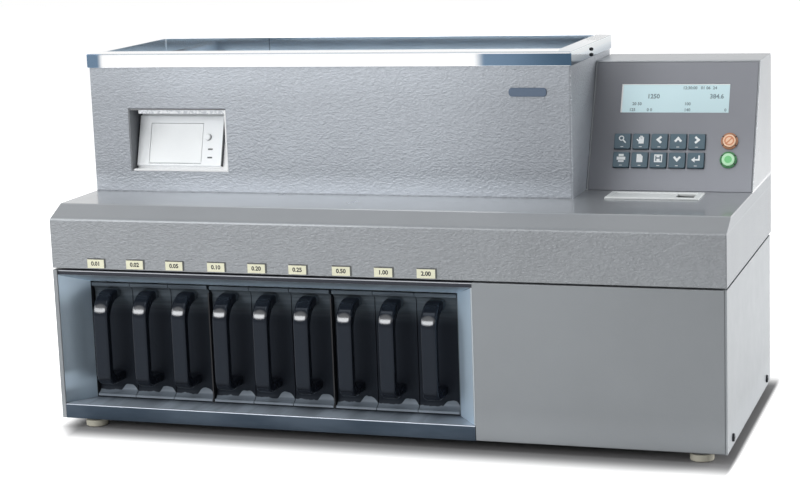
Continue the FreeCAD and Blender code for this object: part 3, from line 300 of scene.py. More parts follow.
class Finish(Nodes):
    """A material being made: one surface shader and the nodes that feed it."""

    def __init__(self, name, **constants):
        self.material = bpy.data.materials.new(name)
        self.material.use_nodes = True
        super().__init__(self.material.node_tree)
        self.shader = self.tree.nodes["Principled BSDF"]
        for socket, value in constants.items():
            self.set(socket.replace("_", " ").title().replace("Ior", "IOR"), value)

    def set(self, socket, value):
        if hasattr(value, "__len__"):
            value = (*value, 1.0)
        self.feed(self.shader.inputs[socket], value)

    def place(self, stretch=EVEN):
        coordinates = self.node("ShaderNodeTexCoord", output="Object")
        return self.node("ShaderNodeMapping", sockets={"Vector": coordinates, "Scale": stretch})

    def along(self, axis):
        """Coordinate along X, Y or Z, in metres."""
        coordinates = self.node("ShaderNodeTexCoord", output="Object")
        return self.node("ShaderNodeSeparateXYZ", sockets={"Vector": coordinates}, output=axis)

    def axes(self):
        """Coordinates along X, Y and Z, in metres."""
        return [self.along(axis) for axis in "XYZ"]

    def noise(self, scale, detail=2.0, stretch=EVEN):
        sockets = {"Vector": self.place(stretch), "Scale": scale, "Detail": detail}
        return self.node("ShaderNodeTexNoise", sockets=sockets)

    def cells(self, scale, stretch=EVEN):
        """Distance from the nearest of many scattered points."""
        sockets = {"Vector": self.place(stretch), "Scale": scale}
        return self.node("ShaderNodeTexVoronoi", sockets=sockets, output="Distance")

    def wave(self, axis, scale):
        """Even bands across an axis."""
        sockets = {"Vector": self.place(), "Scale": scale}
        return self.node("ShaderNodeTexWave", {"bands_direction": axis}, sockets)

    def step(self, value, low, high):
        """0 below low, 1 above high and a smooth change between."""
        return self.node("ShaderNodeMapRange", {"interpolation_type": "SMOOTHSTEP"},
                         {"Value": value, "From Min": low, "From Max": high})

    def ramp(self, value, edge, start, end):
        """0 before the start, 1 past the end and a smooth change between, both measured from an edge."""
        return self.step(value, edge + start, edge + end)

    def away(self, value, middle, inner, outer):
        """0 within the inner distance of a middle, 1 past the outer one and a smooth change between."""
        apart = value - middle
        return self.step(apart * apart, inner ** 2, outer ** 2)

    def larger(self, first, second):
        return self.node("ShaderNodeMath", {"operation": "MAXIMUM"}, {0: first, 1: second})

    def beyond(self, axis, half):
        """Distance outside a slab about the origin, and 0 within it."""
        reach = self.node("ShaderNodeMath", {"operation": "ABSOLUTE"}, {0: self.along(axis)})
        return self.larger(reach - half, 0.0)

    def blend(self, mask, first, second):
        """Colour that goes from the first to the second as the mask goes from 0 to 1."""
        sides = [value if isinstance(value, Number) else (*value, 1.0) for value in (first, second)]
        sockets = {0: mask, 6: sides[0], 7: sides[1]}
        return self.node("ShaderNodeMix", {"data_type": "RGBA"}, sockets, output=2)

    def tints(self, mask, base, first, second):
        """Blend of two tints of one colour."""
        return self.blend(mask, tinted(base, first), tinted(base, second))

    def scaled(self, shade, factor):
        """Colour times a number that varies."""
        if not isinstance(shade, Number):
            shade = Vector(shade)
        return self.node("ShaderNodeVectorMath", {"operation": "SCALE"}, {0: shade, "Scale": factor})

    def relief(self, height, depth, strength):
        sockets = {"Strength": strength, "Distance": depth, "Height": height}
        self.feed(self.shader.inputs["Normal"], self.node("ShaderNodeBump", sockets=sockets))


def tinted(base, factor):
    """Darker or paler tint of a colour."""
    return tuple(min(1.0, channel * factor) for channel in base)


# Finishes, whose plain numbers are shares of a shade, fineness of a pattern and relief in metres

def spotted(finish, base, scale, spread):
    """Base colour with a faint uneven shade."""
    finish.set("Base Color", finish.tints(finish.noise(scale, 4.0), base, 1 - spread, 1 + spread))


def flow_marks(finish):
    """Faint waves of a polished moulding."""
    finish.relief(finish.noise(130.0, 1.0), 0.00025, 0.10)


def satin_grain(finish, scale=1700.0):
    """Fine grain of a satin surface."""
    finish.relief(finish.noise(scale, 2.0), 0.0001, 0.2)


def rubber_grain(finish):
    """Dull grain of rubber."""
    finish.relief(finish.noise(2200.0, 2.0), 0.00025, 0.35)


def embossed(finish, base, grain):
    """Shade, height and roughness of embossed silver-grey paint."""
    ripple = finish.noise(430.0, 2.0, (0.56, 0.56, 1.0))
    pits = finish.cells(560.0, (0.6, 0.6, 1.0))
    clouds = finish.noise(16.0, 3.0)
    flakes = finish.noise(1500.0, 1.0)
    shade = clouds * 0.30 + ripple * 0.55 + flakes * 0.15
    paint = finish.tints(shade, base, 1 - grain, 1 + grain)
    return paint, ripple * 0.75 + pits * 0.25, 0.40 + clouds * 0.10


HOPPER_GRAIN, HOPPER_RELIEF = 0.25, 0.0014
# Hopper's painted light and shade: shade at both ends, light on its right side, reflection along its foot,
# light at its top, shadow line at its foot
HOPPER_LEFT_SHADE, HOPPER_RIGHT_SHADE, HOPPER_BACK_LIGHT, HOPPER_SHADED_SIDE = 0.150, -0.190, 0.090, (-0.0014, -0.0006)
HOPPER_FOOT_REFLECTION, HOPPER_TOP_LIGHT, FOOT_SHADOW_LINE = (0.030, 0.004), (-0.060, -0.016), (0.0020, 0.0008)


def hopper_paint(name, base, low, high):
    """Embossed paint of the hopper, with painted light and shade along its front and on its right side."""
    finish = Finish(name, metallic=0.30)
    paint, relief, roughness = embossed(finish, base, HOPPER_GRAIN)
    across, depth, height = finish.axes()
    # Painted shade towards both ends of the front, a painted reflection paler along its foot, painted light
    # towards its top and a painted shadow line along the joint at its foot
    left = finish.ramp(across, low.x, HOPPER_LEFT_SHADE, 0.0)
    right = finish.ramp(across, high.x, HOPPER_RIGHT_SHADE, 0.0)
    foot = finish.ramp(height, low.z, *HOPPER_FOOT_REFLECTION)
    top = finish.ramp(height, high.z, *HOPPER_TOP_LIGHT)
    joint = finish.ramp(height, low.z, *FOOT_SHADOW_LINE)
    front = (1 - left * 0.22 - right * 0.25) * (0.95 + foot * 0.48 + top * 0.13) * (1 - joint * 0.35)
    # Right side: plainer, darker paint with painted shade towards its top and front, and painted light lower
    # down and towards its back
    back = finish.ramp(depth, low.y, 0.0, HOPPER_BACK_LIGHT)
    side = (0.55 + finish.step(height, high.z, low.z) * 0.90) * (1 + back * 0.6)
    beside = finish.ramp(across, high.x, *HOPPER_SHADED_SIDE)
    plain = finish.scaled(tinted(base, 0.80), side)
    finish.set("Base Color", finish.blend(beside, finish.scaled(paint, front), plain))
    finish.set("Roughness", roughness)
    finish.relief(relief * (1 - foot * 0.45), HOPPER_RELIEF, 0.90)
    return finish.material


COVER_GRAIN, COVER_RELIEF = 0.30, 0.0016
BAND_EDGE, COVER_SIDE = (-0.0015, 0.0025), (-0.0010, -0.0004)
LEDGE_FLAT, LEDGE_RISE = (-0.0012, -0.0004), (0.0010, 0.0030)
BEND_HIGHLIGHT, BEND_HIGHLIGHT_FADE, BAND_SHADE_FADE = (0.00048, 0.0012), (0.10, -0.12), (-0.10, 0.36)
LEDGE_GLEAM_LEFT, LEDGE_GLEAM_RIGHT = (-0.34, -0.17), (0.26, 0.05)


def cover_paint(name, base, band_top, high):
    """Embossed paint of the lid's band, smooth above and faint on its right side, and a glossy pale ledge, all
    with painted light and shade.
    """
    finish = Finish(name, metallic=0.30, coat_roughness=0.08)
    paint, relief, roughness = embossed(finish, base, COVER_GRAIN)
    across, height = finish.along("X"), finish.along("Z")
    ledge = band_top + CHAMFER_RISE
    plain = finish.ramp(height, band_top, *BAND_EDGE)
    above = finish.ramp(height, ledge, *LEDGE_RISE)
    flat = finish.ramp(height, ledge, *LEDGE_FLAT) * (1 - above)
    crown = finish.ramp(height, high.z, *LEDGE_FLAT)
    side = finish.ramp(across, high.x, *COVER_SIDE)
    # Painted reflection (gleam) on the ledge's left part, and a painted highlight along the band's bend that
    # fades to the right
    gleam = finish.step(across, *LEDGE_GLEAM_LEFT) * finish.step(across, *LEDGE_GLEAM_RIGHT)
    bend_highlight = 1 - finish.away(height, band_top, *BEND_HIGHLIGHT)
    bend_highlight = bend_highlight * (0.10 + finish.step(across, *BEND_HIGHLIGHT_FADE) * 0.45)
    # Painted shade: the band darker towards its right end and the chamfer darker than the ledge; the faces
    # above the ledge get painted light along the very top
    band = 0.91 - finish.step(across, *BAND_SHADE_FADE) * 0.09 + bend_highlight
    sheet = (1 - flat - above) * 0.84 + flat * (1 + gleam * 0.38) + above * (0.95 + crown * 0.16) + bend_highlight
    even = finish.tints(finish.noise(18.0, 3.0), base, 0.95, 1.05)
    paint = finish.blend(finish.larger(plain, side * 0.6), paint, even)
    finish.set("Base Color", finish.scaled(paint, band * (1 - plain) + sheet * plain))
    finish.set("Roughness", roughness - (flat + above) * 0.16)
    finish.set("Coat Weight", flat * 0.7)
    finish.relief(relief * (1 - finish.larger(plain * 0.93, side * 0.75)), COVER_RELIEF, 1.0)
    return finish.material


SATIN_FOOT_LIGHT = (0.042, 0.004)


def satin_paint(name, base, low=None, high=None, right_shade=0.0):
    """Satin paint with a little orange peel, with painted light along a sheet's foot and painted shade
    deepening towards its right end.
    """
    finish = Finish(name, metallic=0.20)
    paint = finish.tints(finish.noise(14.0, 4.0), base, 0.94, 1.06)
    if low is not None:
        # Painted light along the foot and painted shade deepening towards the right end
        foot = finish.ramp(finish.along("Z"), low.z, *SATIN_FOOT_LIGHT)
        right = finish.step(finish.along("X"), low.x, high.x)
        paint = finish.scaled(paint, (1 - right * right_shade) * (1 + foot * 0.22))
    finish.set("Base Color", paint)
    finish.set("Roughness", 0.36 + finish.noise(60.0) * 0.10)
    finish.relief(finish.noise(700.0, 2.0), 0.0003, 0.30)
    return finish.material


OVERLAY_SHADE = 0.45


def matt_overlay(name, base, low, high):
    """Matt printed sheet of the console, with painted light towards its foot and painted shade towards its
    left.
    """
    finish = Finish(name)
    # Painted light towards the foot and painted shade towards the left
    foot = finish.step(finish.along("Z"), (low.z + high.z) / 2, low.z)
    left = finish.step(finish.along("X"), low.x + (high.x - low.x) * OVERLAY_SHADE, low.x)
    sheet = finish.tints(finish.noise(22.0, 4.0), base, 0.92, 1.02)
    sheet = finish.blend(foot, sheet, tinted(base, 1.30))
    finish.set("Base Color", finish.blend(left * 0.45, sheet, tinted(base, 0.40)))
    finish.set("Roughness", 0.52 + finish.noise(80.0) * 0.08)
    finish.relief(finish.noise(2600.0, 1.0), 0.00012, 0.25)
    return finish.material


def brushed_metal(name, base, stretch, roughness):
    """Sheet metal brushed along the axis with the smallest stretch."""
    finish = Finish(name, metallic=1.0)
    lines = finish.noise(1500.0, 3.0, stretch)
    shade = lines * 0.6 + finish.noise(9.0, 3.0) * 0.4
    finish.set("Base Color", finish.tints(shade, base, 0.82, 1.18))
    finish.set("Roughness", roughness + lines * 0.12)
    finish.relief(lines, 0.00008, 0.20)
    return finish.material


def plated_metal(name, base):
    """Zinc-plated sheet with its faint crystal pattern."""
    finish = Finish(name, metallic=1.0)
    crystals = finish.cells(130.0)
    finish.set("Base Color", finish.tints(crystals, base, 0.84, 1.14))
    finish.set("Roughness", 0.30 + crystals * 0.16)
    finish.relief(crystals, 0.00006, 0.15)
    return finish.material


def glossy_moulding(name, base, roughness, gloss=0.42):
    """Polished moulded plastic with faint flow marks."""
    finish = Finish(name, specular_ior_level=gloss)
    spotted(finish, base, 30.0, 0.18)
    finish.set("Roughness", roughness + finish.noise(55.0, 4.0) * 0.10)
    flow_marks(finish)
    return finish.material


def grained_moulding(name, base, roughness=0.48):
    """Matt moulded plastic with a fine spark-eroded grain."""
    finish = Finish(name)
    spotted(finish, base, 26.0, 0.07)
    finish.set("Roughness", roughness + finish.noise(90.0) * 0.08)
    finish.relief(finish.noise(1700.0, 2.0), 0.00015, 0.28)
    return finish.material


def soft_rubber(name, base):
    """Black rubber of the lid's bumpers."""
    finish = Finish(name, specular_ior_level=0.30)
    spotted(finish, base, 60.0, 0.16)
    finish.set("Roughness", 0.68 + finish.noise(140.0) * 0.12)
    rubber_grain(finish)
    return finish.material


FOOT_COLLAR, COLLAR_SOFT = 0.0080, 0.0002


def foot_moulding(name, base, collar):
    """Cream rubber foot under a grey collar."""
    finish = Finish(name, specular_ior_level=0.30)
    above = finish.ramp(finish.along("Z"), FOOT_COLLAR, -COLLAR_SOFT, COLLAR_SOFT)
    mottle = finish.noise(60.0, 4.0)
    finish.set("Base Color", finish.blend(above, finish.tints(mottle, base, 0.86, 1.10), collar))
    finish.set("Roughness", 0.66 + mottle * 0.12)
    rubber_grain(finish)
    return finish.material


def woven_belt(name, base):
    """Rubber belt with its fabric showing as a fine weave."""
    finish = Finish(name, specular_ior_level=0.30)
    weave = finish.wave("X", 300.0) * finish.wave("Y", 300.0)
    finish.set("Base Color", finish.tints(weave, base, 0.7, 1.6))
    finish.set("Roughness", 0.62 + weave * 0.14)
    finish.relief(weave, 0.00025, 0.35)
    return finish.material


def screen_glass(name, base, low, high):
    """Lit display: paler towards its upper left, with the fine grid of its dots."""
    finish = Finish(name, specular_ior_level=0.30, emission_strength=0.22)
    across = finish.step(finish.along("X"), low.x, high.x)
    up = finish.step(finish.along("Z"), low.z, high.z)
    pale = 1 - (across * 0.55 + (1 - up) * 0.45)
    dots = finish.wave("X", 320.0)
    tone = pale * 0.9 + dots * 0.1
    finish.set("Base Color", finish.tints(tone, base, 0.86, 1.08))
    finish.set("Roughness", 0.16 + dots * 0.05)
    finish.set("Emission Color", finish.tints(tone, base, 0.95, 1.2))
    return finish.material


def circuit_board(name):
    """Green lacquer over copper tracks."""
    finish = Finish(name)
    tracks = finish.step(finish.cells(160.0, (1.0, 1.0, 0.2)), 0.30, 0.36)
    finish.set("Base Color", finish.blend(tracks, (0.012, 0.10, 0.05), (0.02, 0.17, 0.085)))
    finish.set("Roughness", 0.30 + tracks * 0.10)
    finish.relief(tracks, 0.00005, 0.3)
    return finish.material


def flat_ink(name, base):
    """Printed ink without a shine."""
    finish = Finish(name)
    spotted(finish, base, 900.0, 0.05)
    finish.set("Roughness", 0.55 + finish.noise(700.0) * 0.08)
    return finish.material


POCKET_SHADE_DEPTH, POCKET_SHADE_EDGE, POCKET_SOFT = 0.026, (0.0012, -0.0004), 0.0004


def pocket_lining(name, pale, edge_x, low, high):
    """Pale satin sheet with painted shade along its head, and painted shade left of an upright edge that
    deepens inwards.
    """
    finish = Finish(name, specular_ior_level=0.35)
    across, depth, height = finish.axes()
    # Painted shade left of the upright edge, deepening inwards, and painted shade along the pocket's head
    inwards = finish.ramp(depth, low.y, 0.0, POCKET_SHADE_DEPTH)
    inner_shade = finish.blend(inwards, (0.180, 0.189, 0.202), (0.055, 0.060, 0.068))
    shaded_side = finish.ramp(across, edge_x, *POCKET_SHADE_EDGE)
    head = finish.ramp(height, high.z - POCKET_WALL, 0.0, POCKET_SOFT)
    sheet = finish.blend(shaded_side, pale, inner_shade)
    finish.set("Base Color", finish.blend(head, sheet, (0.120, 0.126, 0.135)))
    finish.set("Roughness", 0.40 + finish.noise(200.0) * 0.12)
    satin_grain(finish, 1500.0)
    return finish.material


PRINTER_SHADOW_LINE, PRINTER_SOFT = 0.0018, 0.0005
WELL_SHADE_DEPTH, WELL_SHADE_BELOW = (0.0020, 0.0028), 0.0020


def printer_moulding(name, base, edge_x, inward, face, door):
    """White moulding with a painted shadow line right of an upright edge and painted shade in the paper well
    behind the door.
    """
    finish = Finish(name, specular_ior_level=0.45)
    mottle = finish.noise(40.0, 3.0)
    across, height = finish.along("X"), finish.along("Z")
    # Painted shadow line along the joint right of the upright edge
    joint = finish.ramp(across, edge_x, 0.0, PRINTER_SOFT)
    depth = finish.along("Y") * inward.y + height * inward.z - face.dot(inward)
    low, high = door
    framed = finish.ramp(across, low.x, 0.0, PRINTER_SOFT) * finish.ramp(across, high.x, 0.0, -PRINTER_SOFT)
    framed = framed * finish.ramp(height, low.z, -WELL_SHADE_BELOW, 0.0)
    framed = framed * finish.ramp(height, high.z, 0.0, -PRINTER_SOFT)
    # Painted shade in the paper well behind the door
    inner_shade = framed * finish.step(depth, *WELL_SHADE_DEPTH)
    white = finish.tints(mottle, base, 0.96, 1.03)
    dark = finish.blend(mottle, (0.028, 0.031, 0.035), (0.050, 0.054, 0.060))
    finish.set("Base Color", finish.blend(finish.larger(joint, inner_shade), white, dark))
    finish.set("Roughness", 0.38 + mottle * 0.08 + inner_shade * 0.3)
    satin_grain(finish)
    return finish.material


CAP_SHINE, CAP_SHADE = (-0.30, 0.25), (0.45, 1.35)


def domed_cap(name, base, low, high):
    """White moulding of a round cap, shaded round its edge and most at its lower right."""
    finish = Finish(name, specular_ior_level=0.45)
    radius = (high.x - low.x) / 2
    middle = (low + high) / 2
    across = finish.along("X") - (middle.x + radius * CAP_SHINE[0])
    height = finish.along("Z") - (middle.z + radius * CAP_SHINE[1])
    inner, outer = ((radius * share) ** 2 for share in CAP_SHADE)
    edge = finish.step(across * across + height * height, inner, outer)
    finish.set("Base Color", finish.tints(edge, base, 1.03, 0.22))
    finish.set("Roughness", 0.36 + edge * 0.08)
    satin_grain(finish)
    return finish.material


def speckled_moulding(name, first, second):
    """Moulding with a coarse blotchy shade."""
    finish = Finish(name, specular_ior_level=0.35)
    blotches = finish.step(finish.noise(240.0, 4.0), 0.36, 0.60)
    finish.set("Base Color", finish.blend(blotches, first, second))
    finish.set("Roughness", 0.50 + blotches * 0.10)
    finish.relief(blotches, 0.0001, 0.3)
    return finish.material


SILL_INSIDE, SILL_FLOOR, SILL_FRONT = (-0.0003, 0.0002), (0.0014, 0.0022), (-0.0011, -0.0017)
SHELF_SHADOW_SHARE = 0.45


def bay_sheet(name, sill_top, front_y, back_y):
    """Steel with a painted highlight along the sill's edge, painted shadow on the shelf towards the boxes and
    painted shade inside the bay.
    """
    finish = Finish(name)
    lines = finish.noise(1400.0, 2.0, (0.02, 1.0, 1.0))
    depth, height = finish.along("Y"), finish.along("Z")
    inside = finish.ramp(height, sill_top, *SILL_INSIDE)
    floor = finish.ramp(depth, front_y, *SILL_FLOOR)
    front = finish.ramp(height, sill_top, *SILL_FRONT)
    # Painted highlight along the sill's rounded top edge
    edge = finish.blend(lines, (0.28, 0.31, 0.35), (0.38, 0.41, 0.46))
    clouds = finish.step(finish.noise(26.0, 3.0, (0.35, 1.0, 1.0)), 0.36, 0.66)
    skirt = finish.blend(clouds, (0.034, 0.047, 0.064), (0.056, 0.073, 0.095))
    streaks = finish.step(finish.noise(44.0, 3.0, (1.0, 0.12, 1.0)), 0.40, 0.60)
    # Painted shadow on the shelf, darkest by the boxes
    reach = finish.step(depth, back_y, back_y - (back_y - front_y) * SHELF_SHADOW_SHARE)
    shelf = finish.blend(reach * 0.60 + streaks * 0.40, (0.090, 0.110, 0.138), (0.370, 0.430, 0.500))
    # Near-black painted shade inside the bay
    deep = finish.blend(lines, (0.008, 0.009, 0.011), (0.014, 0.015, 0.018))
    sill = finish.blend(front, finish.blend(floor, edge, shelf), skirt)
    finish.set("Base Color", finish.blend(inside, sill, deep))
    finish.set("Metallic", 1 - floor * 0.8)
    finish.set("Roughness", 0.24 + lines * 0.12 + floor * 0.14)
    finish.relief(lines, 0.00005, 0.15)
    return finish.material


SPLAY, SPLAY_TOP, FLANGE_HIGHLIGHT = 0.026, 0.014, (0.0012, 0.0004)
# Lip in painted shadow with a painted highlight line; painted highlights (gleams) low and near the top of the
# jambs
LIP_HEIGHT, LIP_SOFT, LIP_HIGHLIGHT, LIP_HIGHLIGHT_WIDTHS = 0.0060, 0.0002, 0.0014, (0.00036, 0.0006)
LOW_GLEAM, LOW_GLEAM_REACH, TOP_GLEAM = 0.026, 0.014, (-0.052, -0.020)


def splayed_sheet(name, base, low, high):
    """Blue-grey sheet of the bay's frame with painted light, shade and highlights, and a lip in painted shadow
    with a painted highlight line.
    """
    finish = Finish(name, metallic=0.45)
    lines = finish.noise(1500.0, 3.0, (1.0, 1.0, 0.03))
    across, depth, height = finish.axes()
    outer = finish.step(depth, high.y, low.y)
    left = ((low.x + SPLAY) - across) * (1 / SPLAY)
    right = (across - (high.x - SPLAY)) * (1 / SPLAY)
    above = (height - (high.z - LIP_HEIGHT - SPLAY_TOP)) * (1 / SPLAY_TOP)
    head = finish.step(above - finish.larger(finish.larger(left, right), 0.0), -0.01, 0.03)
    # Painted light and shade on the jambs: paler inwards, darker at the front edge, painted highlights low and
    # near the top at the front, and painted light all over the right jamb
    jamb = finish.blend(outer, tinted(base, 1.30), finish.tints(lines, base, 0.86, 1.14))
    jamb = finish.blend(outer * outer, jamb, tinted(base, 0.76))
    low_gleam = 1 - finish.away(height, low.z + LOW_GLEAM, 0.0, LOW_GLEAM_REACH)
    top_gleam = finish.ramp(height, high.z, *TOP_GLEAM)
    jamb = finish.blend(finish.larger(low_gleam, top_gleam) * outer * 0.8, jamb, tinted(base, 1.75))
    jamb = finish.blend(finish.step(right, -0.02, 0.02), jamb, tinted(base, 2.3))
    # Painted light on the splayed head, palest at its inner edge
    lit_slope = finish.tints(finish.step(above, 0.0, 1.0), base, 2.5, 0.9)
    # Painted highlight along the front flange
    flange_highlight = finish.ramp(depth, low.y, *FLANGE_HIGHLIGHT)
    sheet = finish.blend(flange_highlight, finish.blend(head, jamb, lit_slope), (0.42, 0.46, 0.50))
    # The lip in painted shadow, with a painted highlight line along its edge
    lip = finish.ramp(height, high.z - LIP_HEIGHT, -LIP_SOFT, LIP_SOFT)
    line = 1 - finish.away(height, high.z - LIP_HIGHLIGHT, *LIP_HIGHLIGHT_WIDTHS)
    lip_shading = finish.blend(line, (0.014, 0.017, 0.026), (0.42, 0.44, 0.47))
    finish.set("Base Color", finish.blend(lip, sheet, lip_shading))
    finish.set("Roughness", 0.30 + lines * 0.12)
    finish.relief(lines, 0.00006, 0.18)
    return finish.material


BOX_GLINT = (0.72, 0.84, 1.0)
BOX_RECESS, BOX_FACE, BOX_UPPER_SHEEN = (0.013, 0.024), (-0.0010, -0.0002), (-0.040, -0.008)
# Painted reflection in a band along the box's foot, with a painted shadow line at its sole
FOOT_SHEEN_ASIDE, FOOT_SHEEN_HALF, FOOT_SHEEN_PEAK, FOOT_SHEEN_UNEVEN, FOOT_SHEEN_LOW = 0.0135, 0.0110, 0.0070, 0.0050, 0.0050
SOLE_SHADOW, FOOT_SHEEN_MIDDLE, FOOT_SHEEN_BAND, FOOT_SHADING_SOFT = 0.0010, 0.0058, 0.0034, 0.0006
HANDLE_SHINE, SHINE_WIDTH, SHINE_HEIGHT = 0.1135, 0.0095, 0.0062


def box_moulding(name, base, low, high):
    """Black moulding of a coin box: polished grip and dull recessed face, with painted reflections on the face
    and foot and a painted shadow at its sole.
    """
    finish = Finish(name, specular_ior_level=0.21, specular_tint=BOX_GLINT,
                    coat_roughness=0.17, coat_ior=1.85)
    across, depth, height = finish.axes()
    middle_x = (low.x + high.x) / 2
    mottle = finish.noise(30.0, 4.0)
    streaks = finish.noise(260.0, 3.0, (0.06, 1.0, 1.0))
    recess = finish.ramp(depth, low.y, *BOX_RECESS)
    face = finish.ramp(depth, low.y + HANDLE_REACH, *BOX_FACE)
    grip = finish.tints(mottle, base, 0.84, 1.16)
    # The face a little darker than the grip as painted shade, with a streaked painted reflection towards its
    # top
    upper = finish.ramp(height, high.z, *BOX_UPPER_SHEEN)
    shut = finish.blend(upper * streaks, tinted(base, 0.85), (0.170, 0.205, 0.235))
    # Painted reflection along the foot, rising to a peak right of the handle, above a painted shadow line at
    # the sole
    peak = 1 - finish.away(across, middle_x + FOOT_SHEEN_ASIDE, 0.0, FOOT_SHEEN_HALF)
    uneven = finish.noise(90.0, 2.0, (1.0, 0.0, 0.0))
    crest = peak * FOOT_SHEEN_PEAK + uneven * FOOT_SHEEN_UNEVEN + (low.z + FOOT_SHEEN_LOW)
    foot = 1 - finish.step(height - crest, -FOOT_SHADING_SOFT, FOOT_SHADING_SOFT)
    sole_shadow = 1 - finish.ramp(height, low.z + SOLE_SHADOW, 0.0, FOOT_SHADING_SOFT)
    bands = finish.away(height, low.z + FOOT_SHEEN_MIDDLE, 0.0, FOOT_SHEEN_BAND)
    foot_sheen = finish.blend(bands * 0.60 + streaks * 0.40, (0.125, 0.152, 0.186), (0.400, 0.455, 0.515))
    foot_sheen = finish.blend(sole_shadow, foot_sheen, (0.012, 0.015, 0.019))
    finish.set("Base Color", finish.blend(face, grip, finish.blend(foot, shut, foot_sheen)))
    finish.set("Roughness", 0.12 + mottle * 0.08 + recess * 0.34)
    aside, up = across - middle_x, height - (low.z + HANDLE_SHINE)
    apart = aside * aside * (1 / SHINE_WIDTH ** 2) + up * up * (1 / SHINE_HEIGHT ** 2)
    finish.set("Coat Weight", (1 - finish.step(apart, 0.25, 1.0)) * (1 - recess))
    flow_marks(finish)
    return finish.material


def funnel_sheet(name, base):
    """Satin sheet worn by coins, with fine scratches."""
    finish = Finish(name, metallic=0.55)
    scratches = finish.noise(700.0, 3.0, (0.06, 1.0, 0.6))
    wear = finish.noise(22.0, 4.0)
    finish.set("Base Color", finish.tints(scratches * 0.5 + wear * 0.5, base, 0.85, 1.35))
    finish.set("Roughness", 0.44 + wear * 0.14)
    finish.relief(scratches, 0.00006, 0.18)
    return finish.material


RIM_WIDTH, RIM_SEAM, RIM_SEAM_WIDTHS, RIM_GREY = 0.016, -0.232, (0.0004, 0.0010), (0.30, 0.33, 0.36)
RIM_FRONT, RIM_INNER = (0.0024, 0.0010), (-0.0010, -0.0004)
RIM_SIDE, RIM_ARM = (-0.0022, -0.0010), (0.0004, 0.0012)
RIM_LINE_FOOT, RIM_LINE_HEAD, RIM_SHADE = (-0.0034, -0.0026), (-0.0002, -0.0006), 0.004
RIM_REFLECTION_LEFT, RIM_REFLECTION_RIGHT = (0.022, 0.013), (-0.113, -0.098)
RIM_REFLECTION_FOOT, RIM_REFLECTION_TOP, RIM_REFLECTION_SOFT = 0.0002, 0.0036, 0.0008


def rim_steel(name, base, low, high):
    """Mirror steel with painted dark-blue reflections near both front ends, a painted grey reflection line
    under its top edge, and painted shade on its right end.
    """
    finish = Finish(name, metallic=1.0)
    hairlines = finish.noise(1800.0, 2.0, (0.02, 1.0, 1.0))
    across, depth, height = finish.axes()
    front = finish.ramp(depth, low.y, *RIM_FRONT)
    bright = finish.tints(hairlines, base, 0.97, 1.05)
    # Painted shade on the right end, darker towards its foot, and on the top of the right arm
    side = finish.ramp(across, high.x, *RIM_SIDE)
    under = finish.step(height, high.z - RIM_SHADE, low.z)
    bright = finish.blend(side, bright, finish.blend(under, (0.66, 0.70, 0.72), (0.30, 0.36, 0.42)))
    arm = finish.ramp(across, high.x - RIM_WIDTH, *RIM_ARM) * (1 - side) * (1 - front)
    bright = finish.blend(arm, bright, (0.68, 0.72, 0.75))
    # Painted grey reflection line under the front's top edge
    line = finish.ramp(height, high.z, *RIM_LINE_FOOT) * finish.ramp(height, high.z, *RIM_LINE_HEAD)
    bright = finish.blend(front * line, bright, RIM_GREY)
    inner = finish.ramp(depth, high.y - RIM_WIDTH, *RIM_INNER)
    seam = 1 - finish.away(across, RIM_SEAM, *RIM_SEAM_WIDTHS)
    bright = finish.blend(inner * seam * 0.7, bright, RIM_GREY)
    # Painted dark-blue reflection near both ends of the front
    left = finish.ramp(across, low.x, *RIM_REFLECTION_LEFT)
    right = finish.ramp(across, high.x, *RIM_REFLECTION_RIGHT)
    within = finish.ramp(height, low.z + RIM_REFLECTION_FOOT, 0.0, RIM_REFLECTION_SOFT)
    within = within * finish.ramp(height, high.z - RIM_REFLECTION_TOP, 0.0, -RIM_REFLECTION_SOFT)
    deeper = finish.step(across, high.x + RIM_REFLECTION_RIGHT[1], high.x)
    blue_grey = finish.blend(deeper, (0.155, 0.232, 0.330), (0.058, 0.104, 0.160))
    blue_grey = finish.scaled(blue_grey, 0.80 + finish.noise(30.0, 2.0) * 0.36)
    ends = finish.larger(left, right * within)
    finish.set("Base Color", finish.blend(ends * front, bright, blue_grey))
    finish.set("Roughness", 0.06 + finish.noise(38.0, 3.0) * 0.05)
    finish.relief(hairlines, 0.00004, 0.10)
    return finish.material


# Pieces

def linked(name, data):
    """New object in the scene."""
    piece = bpy.data.objects.new(name, data)
    bpy.context.scene.collection.objects.link(piece)
    return piece


def meshed(name, shape):
    """Mesh of a shape, which is used up."""
    mesh = bpy.data.meshes.new(name)
    shape.to_mesh(mesh)
    shape.free()
    return mesh


def joined(name, meshes):
    """One mesh made of several, which are used up."""
    shape = bmesh.new()
    for mesh in meshes:
        shape.from_mesh(mesh)
        bpy.data.meshes.remove(mesh)
    return meshed(name, shape)


def body_of_node(node):
    return frame["nodes"][node]["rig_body"]


def settled(piece):
    """Make a piece's modifiers part of its mesh."""
    graph = bpy.context.evaluated_depsgraph_get()
    finished = piece.evaluated_get(graph)
    mesh = bpy.data.meshes.new_from_object(finished, preserve_all_data_layers=True, depsgraph=graph)
    old = piece.data
    piece.modifiers.clear()
    piece.data = mesh
    mesh.name = piece.name
    if old.users == 0:
        bpy.data.meshes.remove(old)
    return piece


def smooth(mesh):
    """Smooth shading, with a sharp line where faces meet at an angle."""
    mesh.polygons.foreach_set("use_smooth", [True] * len(mesh.polygons))
    mesh.set_sharp_from_angle(angle=SMOOTH_ANGLE)


def painted(material, *nodes):
    """Give CAD nodes that stay a finish."""
    for node in nodes:
        mesh = frame["nodes"][node].data
        mesh.materials.clear()
        mesh.materials.append(material)


def seated(piece, body, material):
    """Finish a new piece: its material and the body that carries it."""
    piece.data.materials.clear()
    piece.data.materials.append(material)
    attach(piece, body)


